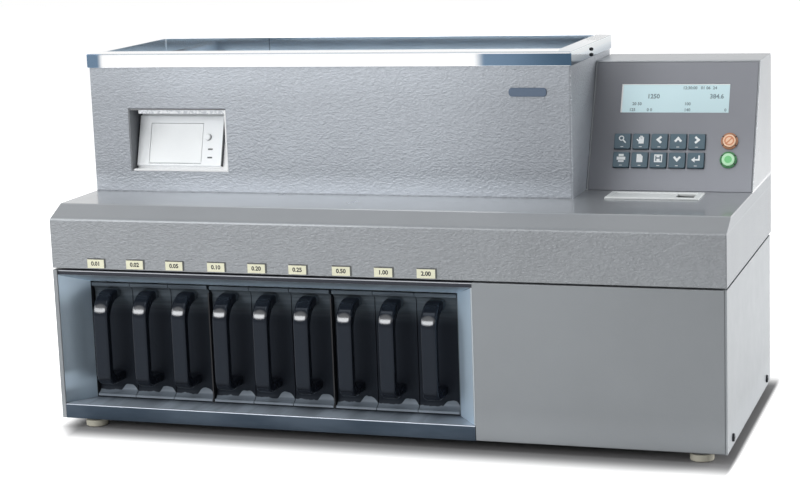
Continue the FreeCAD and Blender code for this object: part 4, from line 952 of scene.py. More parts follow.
def softened(node, radius, material, segments=2):
    """Copy of a CAD node that stands for the node, with edges rounded where there is a radius."""
    mesh = frame["nodes"][node].data.copy()
    shape = bmesh.new()
    shape.from_mesh(mesh)
    bmesh.ops.remove_doubles(shape, verts=shape.verts, dist=WELD)
    bmesh.ops.dissolve_limit(shape, angle_limit=FLAT_ANGLE, verts=shape.verts, edges=shape.edges)
    shape.to_mesh(mesh)
    shape.free()
    if "custom_normal" in mesh.attributes:
        mesh.attributes.remove(mesh.attributes["custom_normal"])
    piece = linked(f"{node}_finished", mesh)
    smooth(mesh)
    if radius:
        bevel = piece.modifiers.new("Edges", "BEVEL")
        bevel.width = radius
        bevel.segments = segments
        bevel.limit_method = "ANGLE"
        bevel.angle_limit = SMOOTH_ANGLE
        bevel.use_clamp_overlap = True
        normals = piece.modifiers.new("Normals", "WEIGHTED_NORMAL")
        normals.keep_sharp = True
        settled(piece)
    seated(piece, body_of_node(node), material)
    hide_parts(node)
    return piece


def seat_on(node, outward):
    """Frame on a node's outermost face: its middle, with X across, Y up the face and Z outwards."""
    normal = Vector(outward).normalized()
    points = [vertex.co for vertex in frame["nodes"][node].data.vertices]
    reach = max(point.dot(normal) for point in points)
    face = [point for point in points if reach - point.dot(normal) < FLAT]
    across = Vector((0, 0, 1)).cross(normal).normalized()
    upward = normal.cross(across)
    middle = normal * reach
    for axis in (across, upward):
        measures = [point.dot(axis) for point in face]
        middle = middle + axis * (min(measures) + max(measures)) / 2
    turn = Matrix((across, upward, normal)).transposed().to_4x4()
    return Matrix.Translation(middle) @ turn


def joint_axis(name):
    return Vector(next(joint["axis"] for joint in frame["joints"] if joint["name"] == name))


def pressed_face(node):
    """Frame on the face of a key or button that a finger presses."""
    return seat_on(node, -joint_axis(f"{node}_press"))


# Finishes by their plain names, which the first step makes
finishes = {}


def make_finishes():
    """Every finish of the machine by its plain name."""
    colours = bpy.context.scene.sorter_colours
    band_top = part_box("label_plates")[0].z + BAND_ABOVE_LABELS
    tray_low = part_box("bay_tray")[0]
    box_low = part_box("coin_box_1")[0]
    printer_low, printer_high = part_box("printer_body")
    inward = joint_axis("printer_button_press")
    printer_face = seat_on("printer_body", -inward).translation
    finishes.update({
        "hopper": hopper_paint("hammered_paint", colours.hopper, *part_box("hopper_shell")),
        "cover": cover_paint("hammered_cover_paint", colours.lid, band_top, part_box("top_cover")[1]),
        "satin": satin_paint("satin_paint", colours.satin, *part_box("case_wrap")),
        # The lower front panel's paint is a little darker, with painted shade deepening towards its right end
        "panel": satin_paint("panel_paint", tinted(colours.satin, 0.97), *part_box("lower_front_panel"), 0.13),
        "overlay": matt_overlay("console_overlay", colours.overlay, *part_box("control_panel")),
        "polished": rim_steel("polished_steel", colours.polished, *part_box("hopper_rim")),
        "tray": bay_sheet("bay_tray_steel", box_low.z, tray_low.y, box_low.y + HANDLE_REACH),
        "surround": splayed_sheet("satin_steel", colours.blue_grey, *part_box("bay_surround")),
        # The funnel takes the bay surround's blue-grey steel made 1.75 times paler, as painted light for its
        # shaded inside
        "funnel": funnel_sheet("funnel_steel", tinted(colours.blue_grey, 1.75)),
        "plated": plated_metal("plated_steel", colours.plated),
        "alloy": brushed_metal("machined_alloy", colours.alloy, (0.05, 1.0, 1.0), 0.22),
        "motor": satin_paint("motor_paint", (0.03, 0.03, 0.034)),
        "black": glossy_moulding("black_moulding", colours.black, 0.12, 0.20),
        "works": grained_moulding("black_works", (0.016, 0.016, 0.018)),
        "foot": foot_moulding("foot_rubber", tinted(colours.cream, 0.92), (0.20, 0.205, 0.21)),
        "bumper": soft_rubber("bumper_rubber", (0.022, 0.022, 0.022)),
        "belt": woven_belt("belt_weave", (0.020, 0.024, 0.028)),
        "white": grained_moulding("printer_white", colours.white, 0.40),
        "frame": grained_moulding("pale_moulding", colours.frame, 0.30),
        "printer": printer_moulding("printer_body_white", colours.white, printer_high.x - PRINTER_SHADOW_LINE,
                                    inward, printer_face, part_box("printer_door")),
        "lip": speckled_moulding("pocket_lip", (0.60, 0.63, 0.67), (0.90, 0.92, 0.95)),
        "feed": domed_cap("feed_button_white", colours.white, *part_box("printer_button")),
        "pocket": pocket_lining("pocket_lining", (0.92, 0.93, 0.94), printer_low.x, *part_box("printer_frame")),
        "screen": screen_glass("screen_glass", colours.screen, *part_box("display_module")),
        "slate": grained_moulding("key_slate", colours.slate, 0.34),
        "go": glossy_moulding("start_green", colours.go, 0.26),
        "halt": glossy_moulding("stop_orange", colours.halt, 0.26),
        "go_ring": glossy_moulding("start_ring", (0.055, 0.235, 0.085), 0.34),
        "halt_ring": glossy_moulding("stop_ring", (0.42, 0.195, 0.105), 0.34),
        "go_sign": flat_ink("start_sign", (0.20, 0.62, 0.25)),
        "halt_sign": flat_ink("stop_sign", (0.66, 0.27, 0.14)),
        "card": grained_moulding("card_cream", colours.card, 0.40),
        # Dark grey of the painted shadows behind the cards
        "card_back": grained_moulding("card_back", (0.075, 0.080, 0.080), 0.50),
        "lamp": glossy_moulding("lamp_dark", (0.085, 0.095, 0.098), 0.30),
        "ink": flat_ink("white_ink", colours.ink),
        "print": flat_ink("dark_print", (0.008, 0.009, 0.011)),
        "segments": flat_ink("screen_segments", (0.20, 0.28, 0.31)),
        "badge": brushed_metal("badge_steel", (0.085, 0.110, 0.150), (0.03, 1.0, 1.0), 0.42),
        "screw": brushed_metal("blackened_screw", (0.022, 0.024, 0.028), EVEN, 0.40),
        "board": circuit_board("circuit_board"),
    })


# Flat signs, drawn in a square from -0.5 to 0.5

MITRE_LIMIT = 0.4


def ribbon(shape, points, width, closed=False):
    """Band of even width along a line, with mitred corners."""
    count = len(points)
    sides = []
    for index, point in enumerate(points):
        here = Vector(point)
        before = Vector(points[index - 1]) if closed or index else here
        after = Vector(points[(index + 1) % count]) if closed or index < count - 1 else here
        ways = [way.normalized() for way in (here - before, after - here) if way.length > 0]
        normals = [Vector((-way.y, way.x)) for way in ways]
        mitre = sum(normals, Vector((0, 0))).normalized()
        reach = width / 2 / max(MITRE_LIMIT, mitre.dot(normals[0]))
        sides.append([shape.verts.new((*(here + mitre * reach * side), 0)) for side in (1, -1)])
    spans = count if closed else count - 1
    for index in range(spans):
        (a, b), (c, d) = sides[index], sides[(index + 1) % count]
        shape.faces.new((a, b, d, c))


def plate(shape, points):
    shape.faces.new([shape.verts.new((*point, 0)) for point in points])


def bar(shape, left, right, low, high):
    plate(shape, [(left, low), (right, low), (right, high), (left, high)])


def circle(x, y, radius, count=28):
    turns = [2 * math.pi * step / count for step in range(count)]
    return [(x + radius * math.cos(turn), y + radius * math.sin(turn)) for turn in turns]


def draw_sign(shape, kind):
    """Draw one sign by its name."""
    chevron = [(0.19, 0.33), (-0.19, 0.0), (0.19, -0.33)]
    turned = {"left": (1, 0), "right": (-1, 0), "up": (0, -1), "down": (0, 1)}
    if kind in turned:
        along, across = turned[kind]
        ribbon(shape, [(x * along + y * across, y * along + x * across) for x, y in chevron], 0.24)
    elif kind == "enter":
        ribbon(shape, [(0.34, 0.36), (0.34, -0.12), (-0.12, -0.12)], 0.17)
        plate(shape, [(-0.48, -0.12), (-0.10, -0.42), (-0.10, 0.18)])
    elif kind == "lens":
        ribbon(shape, circle(-0.10, 0.14, 0.23), 0.11, True)
        ribbon(shape, [(0.08, -0.05), (0.38, -0.36)], 0.15)
    elif kind == "hand":
        bar(shape, -0.22, 0.33, -0.44, 0.06)
        for x, top in ((-0.155, 0.28), (-0.01, 0.42), (0.135, 0.40), (0.27, 0.26)):
            ribbon(shape, [(x, 0.05), (x, top)], 0.115)
        ribbon(shape, [(-0.18, -0.22), (-0.42, 0.05)], 0.13)
    elif kind == "printer":
        bar(shape, -0.46, 0.46, -0.20, 0.14)
        bar(shape, -0.27, 0.27, 0.19, 0.44)
        bar(shape, -0.30, 0.30, -0.44, -0.25)
    elif kind == "page":
        plate(shape, [(-0.32, -0.44), (0.32, -0.44), (0.32, 0.20), (0.10, 0.44), (-0.32, 0.44)])
    elif kind == "card":
        ribbon(shape, [(-0.36, -0.36), (0.36, -0.36), (0.36, 0.36), (-0.36, 0.36)], 0.13, True)
        bar(shape, -0.18, 0.18, -0.30, -0.04)
        bar(shape, -0.20, 0.14, 0.10, 0.30)
    elif kind == "slashed":
        ribbon(shape, circle(0, 0, 0.34, 40), 0.11, True)
        ribbon(shape, [(-0.22, -0.22), (0.22, 0.22)], 0.11)
    elif kind == "disc":
        plate(shape, circle(0, 0, 0.30, 40))
    elif kind == "underline":
        bar(shape, -0.5, 0.5, -0.10, 0.10)
    else:
        raise ValueError(f"no sign is called {kind}")


def raised(shape, depth):
    """Give a flat drawing a thickness above it."""
    extruded = bmesh.ops.extrude_face_region(shape, geom=list(shape.faces))
    top = [part for part in extruded["geom"] if isinstance(part, bmesh.types.BMVert)]
    bmesh.ops.translate(shape, vec=(0, 0, depth), verts=top)


def thickened(name, shape, depth):
    """Closed mesh of a flat drawing, half of its thickness below the surface."""
    for face in shape.faces:
        face.normal_update()
        if face.normal.z < 0:
            face.normal_flip()
    raised(shape, depth)
    bmesh.ops.translate(shape, vec=(0, 0, -depth / 2), verts=shape.verts)
    bmesh.ops.recalc_face_normals(shape, faces=shape.faces)
    return meshed(name, shape)


def sign_piece(name, kind, place, size, body, material, shift=(0.0, 0.0)):
    """Printed sign on a face: place is the face's own frame."""
    depth = bpy.context.scene.sorter_sizes.ink_depth
    shape = bmesh.new()
    draw_sign(shape, kind)
    bmesh.ops.scale(shape, vec=(size, size, size), verts=shape.verts)
    mesh = thickened(name, shape, depth)
    mesh.transform(place @ Matrix.Translation((*shift, depth * INK_RISE)))
    seated(linked(name, mesh), body, material)


def number_mesh(text, height, depth, place):
    """Figures as a thin mesh about a place."""
    curve = bpy.data.curves.new("figures", "FONT")
    curve.body = text
    curve.size = height
    curve.align_x = "CENTER"
    curve.align_y = "CENTER"
    curve.extrude = depth / 2
    curve.offset = height * FIGURE_WEIGHT
    curve.resolution_u = FIGURE_STEPS
    writer = linked("figures", curve)
    graph = bpy.context.evaluated_depsgraph_get()
    mesh = bpy.data.meshes.new_from_object(writer.evaluated_get(graph), depsgraph=graph)
    bpy.data.objects.remove(writer)
    bpy.data.curves.remove(curve)
    mesh.transform(place)
    return mesh


def numbers_piece(name, items, body, material):
    """Several figures in one piece: each has its text, height and place."""
    depth = bpy.context.scene.sorter_sizes.ink_depth
    mesh = joined(name, [number_mesh(text, height, depth, place) for text, height, place in items])
    seated(linked(name, mesh), body, material)


def lathe_mesh(name, outline, count):
    """Closed ring or disc turned about Z from radius and height pairs."""
    shape = bmesh.new()
    rings = []
    for step in range(count):
        turn = 2 * math.pi * step / count
        rings.append([shape.verts.new((radius * math.cos(turn), radius * math.sin(turn), height))
                      for radius, height in outline])
    size = len(outline)
    for step in range(count):
        here, after = rings[step], rings[(step + 1) % count]
        for index in range(size):
            nearby = (index + 1) % size
            shape.faces.new((here[index], after[index], after[nearby], here[nearby]))
    bmesh.ops.recalc_face_normals(shape, faces=shape.faces)
    mesh = meshed(name, shape)
    smooth(mesh)
    return mesh


def plate_mesh(name, width, height, depth, radius):
    """Thin rectangular plate with rounded corners and a softened front edge, back at z = 0."""
    shape = bmesh.new()
    corners = []
    for x, y, start in ((1, 1, 0), (-1, 1, 90), (-1, -1, 180), (1, -1, 270)):
        for step in range(PLATE_CORNER_STEPS + 1):
            turn = math.radians(start + step * 90 / PLATE_CORNER_STEPS)
            corners.append((x * (width / 2 - radius) + radius * math.cos(turn),
                            y * (height / 2 - radius) + radius * math.sin(turn)))
    plate(shape, corners)
    raised(shape, depth)
    bmesh.ops.recalc_face_normals(shape, faces=shape.faces)
    front = [edge for edge in shape.edges if all(abs(end.co.z - depth) < WELD for end in edge.verts)]
    bmesh.ops.bevel(shape, geom=front, offset=depth * PLATE_SOFT, segments=2, affect="EDGES")
    mesh = meshed(name, shape)
    smooth(mesh)
    return mesh


def plates_mesh(name, width, height, depth, places):
    """Several equal plates in one mesh."""
    plates = []
    for place in places:
        mesh = plate_mesh("plate", width, height, depth, min(width, height) * PLATE_CORNER)
        mesh.transform(place)
        plates.append(mesh)
    return joined(name, plates)


# Geometry Nodes

class Growth(Nodes):
    """A Geometry Nodes tree being made, with named inputs for its sizes."""

    def __init__(self, name, inputs):
        super().__init__(bpy.data.node_groups.new(name, "GeometryNodeTree"))
        interface = self.tree.interface
        interface.new_socket("Geometry", in_out="INPUT", socket_type="NodeSocketGeometry")
        for label, kind in inputs.items():
            interface.new_socket(label, in_out="INPUT", socket_type=kind)
        interface.new_socket("Geometry", in_out="OUTPUT", socket_type="NodeSocketGeometry")
        self.entry = self.node("NodeGroupInput").socket.node

    def given(self, label):
        return Number(self, self.entry.outputs[label])

    def block(self, sides):
        """Cuboid with its sides given by axis."""
        size = self.node("ShaderNodeCombineXYZ", sockets=sides)
        return self.node("GeometryNodeMeshCube", sockets={"Size": size})

    def ends(self, geometry, material):
        """Close the tree: plain geometry with the one material."""
        real = self.node("GeometryNodeRealizeInstances", sockets={"Geometry": geometry})
        done = self.node("GeometryNodeSetMaterial", sockets={"Geometry": real, "Material": material})
        self.node("NodeGroupOutput", sockets={0: done})

    def grow(self, name, values, points=()):
        """Run the tree on a mesh of points, and return the result as a plain object."""
        mesh = bpy.data.meshes.new(name)
        mesh.from_pydata([tuple(point) for point in points], [], [])
        piece = linked(name, mesh)
        modifier = piece.modifiers.new("Growth", "NODES")
        modifier.node_group = self.tree
        for item in self.tree.interface.items_tree:
            if item.in_out == "INPUT" and item.name in values:
                modifier[item.identifier] = values[item.name]
        return settled(piece)


def screw_growth(material):
    """Cross-head screws on points, all facing one way."""
    kinds = {"Diameter": "NodeSocketFloat", "Rise": "NodeSocketFloat", "Facing": "NodeSocketVector"}
    growth = Growth("screw_heads", kinds)
    diameter, rise = growth.given("Diameter"), growth.given("Rise")
    cone = {"Vertices": SCREW_SIDES, "Radius Top": diameter * SCREW_TOP, "Radius Bottom": diameter * 0.5,
            "Depth": rise}
    head = growth.node("GeometryNodeMeshCone", sockets=cone)
    lift = growth.node("ShaderNodeCombineXYZ", sockets={"Z": rise})
    arms = []
    for long_axis in ("X", "Y"):
        sides = {"X": diameter * CROSS_WIDTH, "Y": diameter * CROSS_WIDTH, "Z": diameter * CROSS_DEPTH}
        sides[long_axis] = diameter * CROSS_LENGTH
        lifted = {"Geometry": growth.block(sides), "Translation": lift}
        arms.append(growth.node("GeometryNodeTransform", sockets=lifted))
    cross = growth.node("GeometryNodeJoinGeometry", sockets={"Geometry": arms})
    both = {"Mesh 1": head, "Mesh 2": cross}
    cut = growth.node("GeometryNodeMeshBoolean", {"operation": "DIFFERENCE"}, both)
    facing = {"Vector": growth.given("Facing")}
    turn = growth.node("FunctionNodeAlignRotationToVector", {"axis": "Z"}, facing)
    copies = {"Points": growth.given("Geometry"), "Instance": cut, "Rotation": turn}
    heads = growth.node("GeometryNodeInstanceOnPoints", sockets=copies)
    growth.ends(heads, material)
    return growth


def grow_screws(name, places, facing, diameter, rise, body):
    """Screw heads of one size on a face of a body, with their rise as a share of the diameter."""
    values = {"Diameter": diameter, "Rise": diameter * rise, "Facing": facing}
    piece = screw_growth(finishes["screw"]).grow(name, values, places)
    seated(piece, body, finishes["screw"])


def card_growth(material):
    """Thin upright cards on points, facing forwards, which stand as painted shadows behind the labels."""
    growth = Growth("card_backs", {"Size": "NodeSocketVector"})
    card = growth.node("GeometryNodeMeshCube", sockets={"Size": growth.given("Size")})
    copies = {"Points": growth.given("Geometry"), "Instance": card}
    growth.ends(growth.node("GeometryNodeInstanceOnPoints", sockets=copies), material)
    return growth


def belt_growth(material):
    """Endless belt with cleats, round two shafts along Y."""
    kinds = {"Span": "NodeSocketFloat", "Radius": "NodeSocketFloat", "Thickness": "NodeSocketFloat",
             "Width": "NodeSocketFloat", "Cleats": "NodeSocketInt", "Cleat": "NodeSocketFloat",
             "Middle": "NodeSocketVector"}
    growth = Growth("cleated_belt", kinds)
    width, thickness = growth.given("Width"), growth.given("Thickness")

    def loop(radius):
        sides = {"Width": growth.given("Span") + radius * 2.0, "Height": radius * 2.0}
        square = growth.node("GeometryNodeCurvePrimitiveQuadrilateral", sockets=sides)
        return growth.node("GeometryNodeFilletCurve", {"mode": "POLY"},
                           {"Curve": square, "Radius": radius, "Count": BELT_BEND_STEPS})

    section = {"Width": thickness, "Height": width}
    strip = growth.node("GeometryNodeCurvePrimitiveQuadrilateral", sockets=section)
    middle_line = loop(growth.given("Radius"))
    belt = growth.node("GeometryNodeCurveToMesh", sockets={"Curve": middle_line, "Profile Curve": strip})
    outside = loop(growth.given("Radius") + thickness * 0.5)
    marks = growth.node("GeometryNodeCurveToPoints", {"mode": "COUNT"},
                        {"Curve": outside, "Count": growth.given("Cleats")})
    turn = Number(growth, marks.socket.node.outputs["Rotation"])
    cleat = growth.block({"X": growth.given("Cleat"), "Y": width * CLEAT_SHARE, "Z": growth.given("Cleat")})
    cleats = growth.node("GeometryNodeInstanceOnPoints",
                         sockets={"Points": marks, "Instance": cleat, "Rotation": turn})
    both = growth.node("GeometryNodeJoinGeometry", sockets={"Geometry": [belt, cleats]})
    stand = {"Geometry": both, "Rotation": (QUARTER_TURN, 0.0, 0.0), "Translation": growth.given("Middle")}
    growth.ends(growth.node("GeometryNodeTransform", sockets=stand), material)
    return growth


def grow_belt(node, thickness, cleats, cleat):
    """Belt with cleats in the place of a plain one."""
    low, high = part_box(node)
    outside = (high.z - low.z) / 2
    values = {"Span": high.x - low.x - 2 * outside, "Radius": outside - thickness / 2, "Thickness": thickness,
              "Width": high.y - low.y, "Cleats": cleats, "Cleat": cleat, "Middle": tuple((low + high) / 2)}
    piece = belt_growth(finishes["belt"]).grow(f"{node}_loop", values)
    smooth(piece.data)
    seated(piece, body_of_node(node), finishes["belt"])
    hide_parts(node)


# Stage

def make_camera():
    """Camera at the photograph's place and angle."""
    data = bpy.data.cameras.new("camera")
    data.sensor_width = CAMERA_SENSOR
    data.lens = CAMERA_LENS
    camera = linked("camera", data)
    forward = Vector((-math.sin(CAMERA_AZIMUTH) * math.cos(CAMERA_ELEVATION),
                      math.cos(CAMERA_AZIMUTH) * math.cos(CAMERA_ELEVATION), -math.sin(CAMERA_ELEVATION)))
    level = forward.to_track_quat("-Z", "Y")
    camera.rotation_mode = "QUATERNION"
    camera.rotation_quaternion = Quaternion(forward, CAMERA_ROLL) @ level
    camera.location = CAMERA_PLACE
    bpy.context.scene.camera = camera


def make_lamp(name, place, width, height, energy):
    """Soft rectangular lamp that faces the machine."""
    data = bpy.data.lights.new(name, "AREA")
    data.shape = "RECTANGLE"
    data.size = width
    data.size_y = height
    data.energy = energy
    lamp = linked(name, data)
    lamp.location = place
    lamp.rotation_mode = "QUATERNION"
    lamp.rotation_quaternion = (Vector(LAMP_TARGET) - Vector(place)).to_track_quat("-Z", "Y")


def seen_directly(nodes):
    """1 for what the camera sees, straight or by mirrors or glass, and 0 for light that falls on things."""
    path = nodes.node("ShaderNodeLightPath").socket.node
    rays = [Number(nodes, path.outputs[f"Is {kind} Ray"]) for kind in ("Camera", "Glossy", "Transmission")]
    return nodes.node("ShaderNodeClamp", sockets={"Value": rays[0] + rays[1] + rays[2]})


def make_world():
    """Pale surroundings, white to the camera and in reflections."""
    world = bpy.data.worlds.new("surroundings")
    bpy.context.scene.world = world
    world.use_nodes = True
    nodes = Nodes(world.node_tree)
    background = world.node_tree.nodes["Background"]
    background.inputs["Color"].default_value = (1.0, 1.0, 1.0, 1.0)
    nodes.feed(background.inputs["Strength"], WORLD_LIGHT + seen_directly(nodes) * (1.0 - WORLD_LIGHT))


def floor_paper(name, half_width, half_depth):
    """White paper that glows to the camera, with a painted shadow under and ahead of the machine."""
    finish = Finish(name, roughness=0.9, emission_strength=1.0)
    aside, ahead = finish.beyond("X", half_width) * SHADOW_NARROW, finish.beyond("Y", half_depth)
    across = finish.along("X") - ahead * SHADOW_SKEW
    left = finish.ramp(across, -half_width, *SHADOW_LEFT)
    open_floor = finish.larger(left, finish.step((aside * aside + ahead * ahead) ** 0.5, *SHADOW_REACH))
    pale = finish.blend(finish.noise(3.0, 3.0), (0.85, 0.85, 0.85), (0.87, 0.87, 0.87))
    # Painted shadow: the paper is dark near the machine and glows only away from it
    finish.set("Base Color", finish.blend(open_floor, (0.23, 0.23, 0.235), pale))
    glow = seen_directly(finish) * open_floor * FLOOR_GLOW
    finish.set("Emission Color", finish.scaled((1.0, 1.0, 1.0), glow))
    return finish.material


def make_floor(width, half_width, half_depth):
    """Flat sheet under the machine."""
    mesh = bpy.data.meshes.new("floor")
    half = width / 2
    corners = [(-half, -half, 0), (half, -half, 0), (half, half, 0), (-half, half, 0)]
    mesh.from_pydata(corners, [], [(0, 1, 2, 3)])
    floor = linked("floor", mesh)
    mesh.materials.append(floor_paper("floor_paper", half_width, half_depth))


class SORTER_OT_stage(bpy.types.Operator):
    """Floor, lamps, surroundings and camera"""
    bl_idname = "sorter.stage"
    bl_label = "Stage"

    def execute(self, context):
        stage = context.scene.sorter_stage
        make_world()
        high = cad_box[1]
        make_floor(stage.floor, high[0], high[1])
        for name, place, width, height in LAMPS:
            make_lamp(f"{name}_lamp", place, width, height, getattr(stage, f"{name}_power"))
        make_camera()
        context.scene.view_settings.view_transform = "Standard"
        return {"FINISHED"}


# Steps

class SORTER_OT_finishes(bpy.types.Operator):
    """Paints, metals, mouldings and inks"""
    bl_idname = "sorter.finishes"
    bl_label = "Finishes"

    def execute(self, context):
        make_finishes()
        return {"FINISHED"}


class SORTER_OT_case(bpy.types.Operator):
    """Lower case, base, feet and rear fittings"""
    bl_idname = "sorter.case"
    bl_label = "Lower case"

    def execute(self, context):
        sizes = context.scene.sorter_sizes
        softened("case_wrap", sizes.edge, finishes["satin"])
        softened("lower_front_panel", sizes.edge, finishes["panel"])
        painted(finishes["plated"], "base_pan", "deck_plate", "hinge_base_leaves")
        painted(finishes["foot"], "feet")
        painted(finishes["bumper"], "lid_bumpers")
        painted(finishes["screw"], "case_screws")
        painted(finishes["works"], "power_inlet")
        painted(finishes["black"], "power_switch")
        low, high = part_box("case_wrap")
        leaf_low, leaf_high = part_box("hinge_base_leaves")
        rows = (low.z + REAR_SCREW_LOW, (low.z + high.z) / 2)
        places = [(side * (high.x - REAR_SCREW_INSET), high.y, z) for side in (-1, 1) for z in rows]
        leaf_y = high.y + HINGE_LEAF
        leaf_z = leaf_low.z + HINGE_SCREW_LOW
        for side in (-1, 1):
            middle = side * (leaf_high.x - HINGE_LENGTH / 2)
            places += [(middle + reach * HINGE_LENGTH / 3, leaf_y, leaf_z) for reach in (-1, 1)]
        grow_screws("rear_screws", places, (0.0, 1.0, 0.0), sizes.screw, REAR_SCREW_RISE, "base")
        return {"FINISHED"}


class SORTER_OT_bay(bpy.types.Operator):
    """Open bay with its splayed frame, tray and dividers"""
    bl_idname = "sorter.bay"
    bl_label = "Coin box bay"

    def execute(self, context):
        edge = context.scene.sorter_sizes.edge
        softened("bay_surround", edge, finishes["surround"])
        painted(finishes["tray"], "bay_tray")
        return {"FINISHED"}


class SORTER_OT_boxes(bpy.types.Operator):
    """Nine coin boxes"""
    bl_idname = "sorter.boxes"
    bl_label = "Coin boxes"

    def execute(self, context):
        base = context.scene.sorter_colours.black
        outline = [(PLUG_BORE, -PLUG_RISE), (PLUG_RADIUS, -PLUG_RISE),
                   (PLUG_RADIUS, PLUG_RISE * PLUG_SHOULDER), (PLUG_RADIUS * PLUG_FLAT, PLUG_RISE),
                   (PLUG_BORE, PLUG_RISE)]
        for number in range(1, BOX_COUNT + 1):
            node = f"coin_box_{number}"
            low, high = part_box(node)
            painted(box_moulding(f"black_moulding_{number}", base, low, high), node)
            side = (low.x + high.x) / 2 + HANDLE_WIDTH / 2
            mesh = lathe_mesh(f"{node}_plug", outline, PLUG_SIDES)
            place = Matrix.Translation((side, low.y + PLUG_DEPTH, low.z + PLUG_HEIGHT))
            mesh.transform(place @ Matrix.Rotation(QUARTER_TURN, 4, "Y"))
            seated(linked(f"{node}_plug", mesh), node, finishes["black"])
        return {"FINISHED"}


class SORTER_OT_lid(bpy.types.Operator):
    """Top cover, ledge tray and lid hinges"""
    bl_idname = "sorter.lid"
    bl_label = "Lid"

    def execute(self, context):
        edge = context.scene.sorter_sizes.edge
        softened("top_cover", edge, finishes["cover"])
        softened("ledge_tray", edge, finishes["frame"])
        painted(finishes["plated"], "hinge_lid_leaves")
        return {"FINISHED"}


class SORTER_OT_hopper(bpy.types.Operator):
    """Hopper with its rim, funnel, belt and bare badge plate"""
    bl_idname = "sorter.hopper"
    bl_label = "Hopper"

    def execute(self, context):
        sizes = context.scene.sorter_sizes
        softened("hopper_shell", sizes.edge, finishes["hopper"])
        softened("hopper_rim", sizes.rim_edge, finishes["polished"], 3)
        painted(finishes["funnel"], "hopper_liner")
        painted(finishes["alloy"], "hopper_drive_roller", "hopper_idler_roller")
        grow_belt("hopper_belt", *FEED_BELT)
        low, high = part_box("hopper_rim")
        places = [(high.x, RIM_SCREW_Y, low.z + height) for height in RIM_SCREW_HEIGHTS]
        grow_screws("rim_screws", places, (1.0, 0.0, 0.0), sizes.rim_screw, RIM_SCREW_RISE, "lid")
        shell_low, shell_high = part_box("hopper_shell")
        mesh = plate_mesh("badge_plate", sizes.badge, BADGE_HEIGHT, BADGE_DEPTH, BADGE_HEIGHT * BADGE_CORNER)
        middle = (shell_high.x - BADGE_INSET, shell_low.y - BADGE_DEPTH * BADGE_SUNK, low.z - BADGE_DROP)
        mesh.transform(Matrix.Translation(middle) @ UPRIGHT)
        seated(linked("badge_plate", mesh), "lid", finishes["badge"])
        return {"FINISHED"}


class SORTER_OT_printer(bpy.types.Operator):
    """Ticket printer in its pocket, with painted shade inside both"""
    bl_idname = "sorter.printer"
    bl_label = "Printer"

    def execute(self, context):
        edge = context.scene.sorter_sizes.edge
        painted(finishes["pocket"], "printer_frame")
        softened("printer_body", edge, finishes["printer"])
        softened("printer_door", edge * DOOR_EDGE, finishes["white"])
        painted(finishes["feed"], "printer_button")
        face = seat_on("printer_body", -joint_axis("printer_button_press"))
        button = (face.inverted() @ pressed_face("printer_button")).translation
        places = [face @ Matrix.Translation((button.x + across, button.y + up, -LAMP_DEPTH * LAMP_SUNK))
                  for across, up in LAMP_OFFSETS]
        mesh = plates_mesh("printer_lamps", LAMP_WIDTH, LAMP_HEIGHT, LAMP_DEPTH, places)
        seated(linked("printer_lamps", mesh), "lid", finishes["lamp"])
        low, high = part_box("printer_frame")
        left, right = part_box("printer_body")[0].x + POCKET_LIP_INSET, high.x - POCKET_WALL
        corner = POCKET_LIP_DEPTH / 2
        mesh = plate_mesh("pocket_lip", right - left, POCKET_LIP_HEIGHT, POCKET_LIP_DEPTH, corner)
        middle = ((left + right) / 2, low.y + POCKET_LIP_BACK, high.z - POCKET_WALL - POCKET_LIP_HEIGHT / 2)
        mesh.transform(Matrix.Translation(middle) @ UPRIGHT)
        seated(linked("pocket_lip", mesh), "lid", finishes["lip"])
        return {"FINISHED"}


def button_ring(name, panel, material):
    """Ring round a button on the panel's face, with dark plates as painted shade where its notches are."""
    seat = panel.inverted() @ pressed_face(f"{name}_button").translation
    middle = panel @ Matrix.Translation((seat.x, seat.y, 0))
    inner = BUTTON_RADIUS + RING_GAP
    outer = inner + RING_WIDTH
    outline = [(inner, -RING_BELOW), (inner, 0.0), (inner + RING_ABOVE, RING_ABOVE),
               (outer - RING_ABOVE * 2, RING_ABOVE), (outer, -RING_ABOVE), (outer, -RING_BELOW)]
    mesh = lathe_mesh(f"{name}_ring", outline, RING_SIDES)
    mesh.transform(middle)
    seated(linked(f"{name}_ring", mesh), "lid", material)
    # Dark plates stand for the ring's notches as painted shade
    aside = Matrix.Translation(((inner + outer) / 2, 0, RING_ABOVE - NOTCH_DEPTH * NOTCH_SUNK))
    notches = [middle @ Matrix.Rotation(math.radians(turn), 4, "Z") @ aside for turn in NOTCH_TURNS]
    mesh = plates_mesh(f"{name}_notches", RING_WIDTH, NOTCH_WIDTH, NOTCH_DEPTH, notches)
    seated(linked(f"{name}_notches", mesh), "lid", finishes["print"])


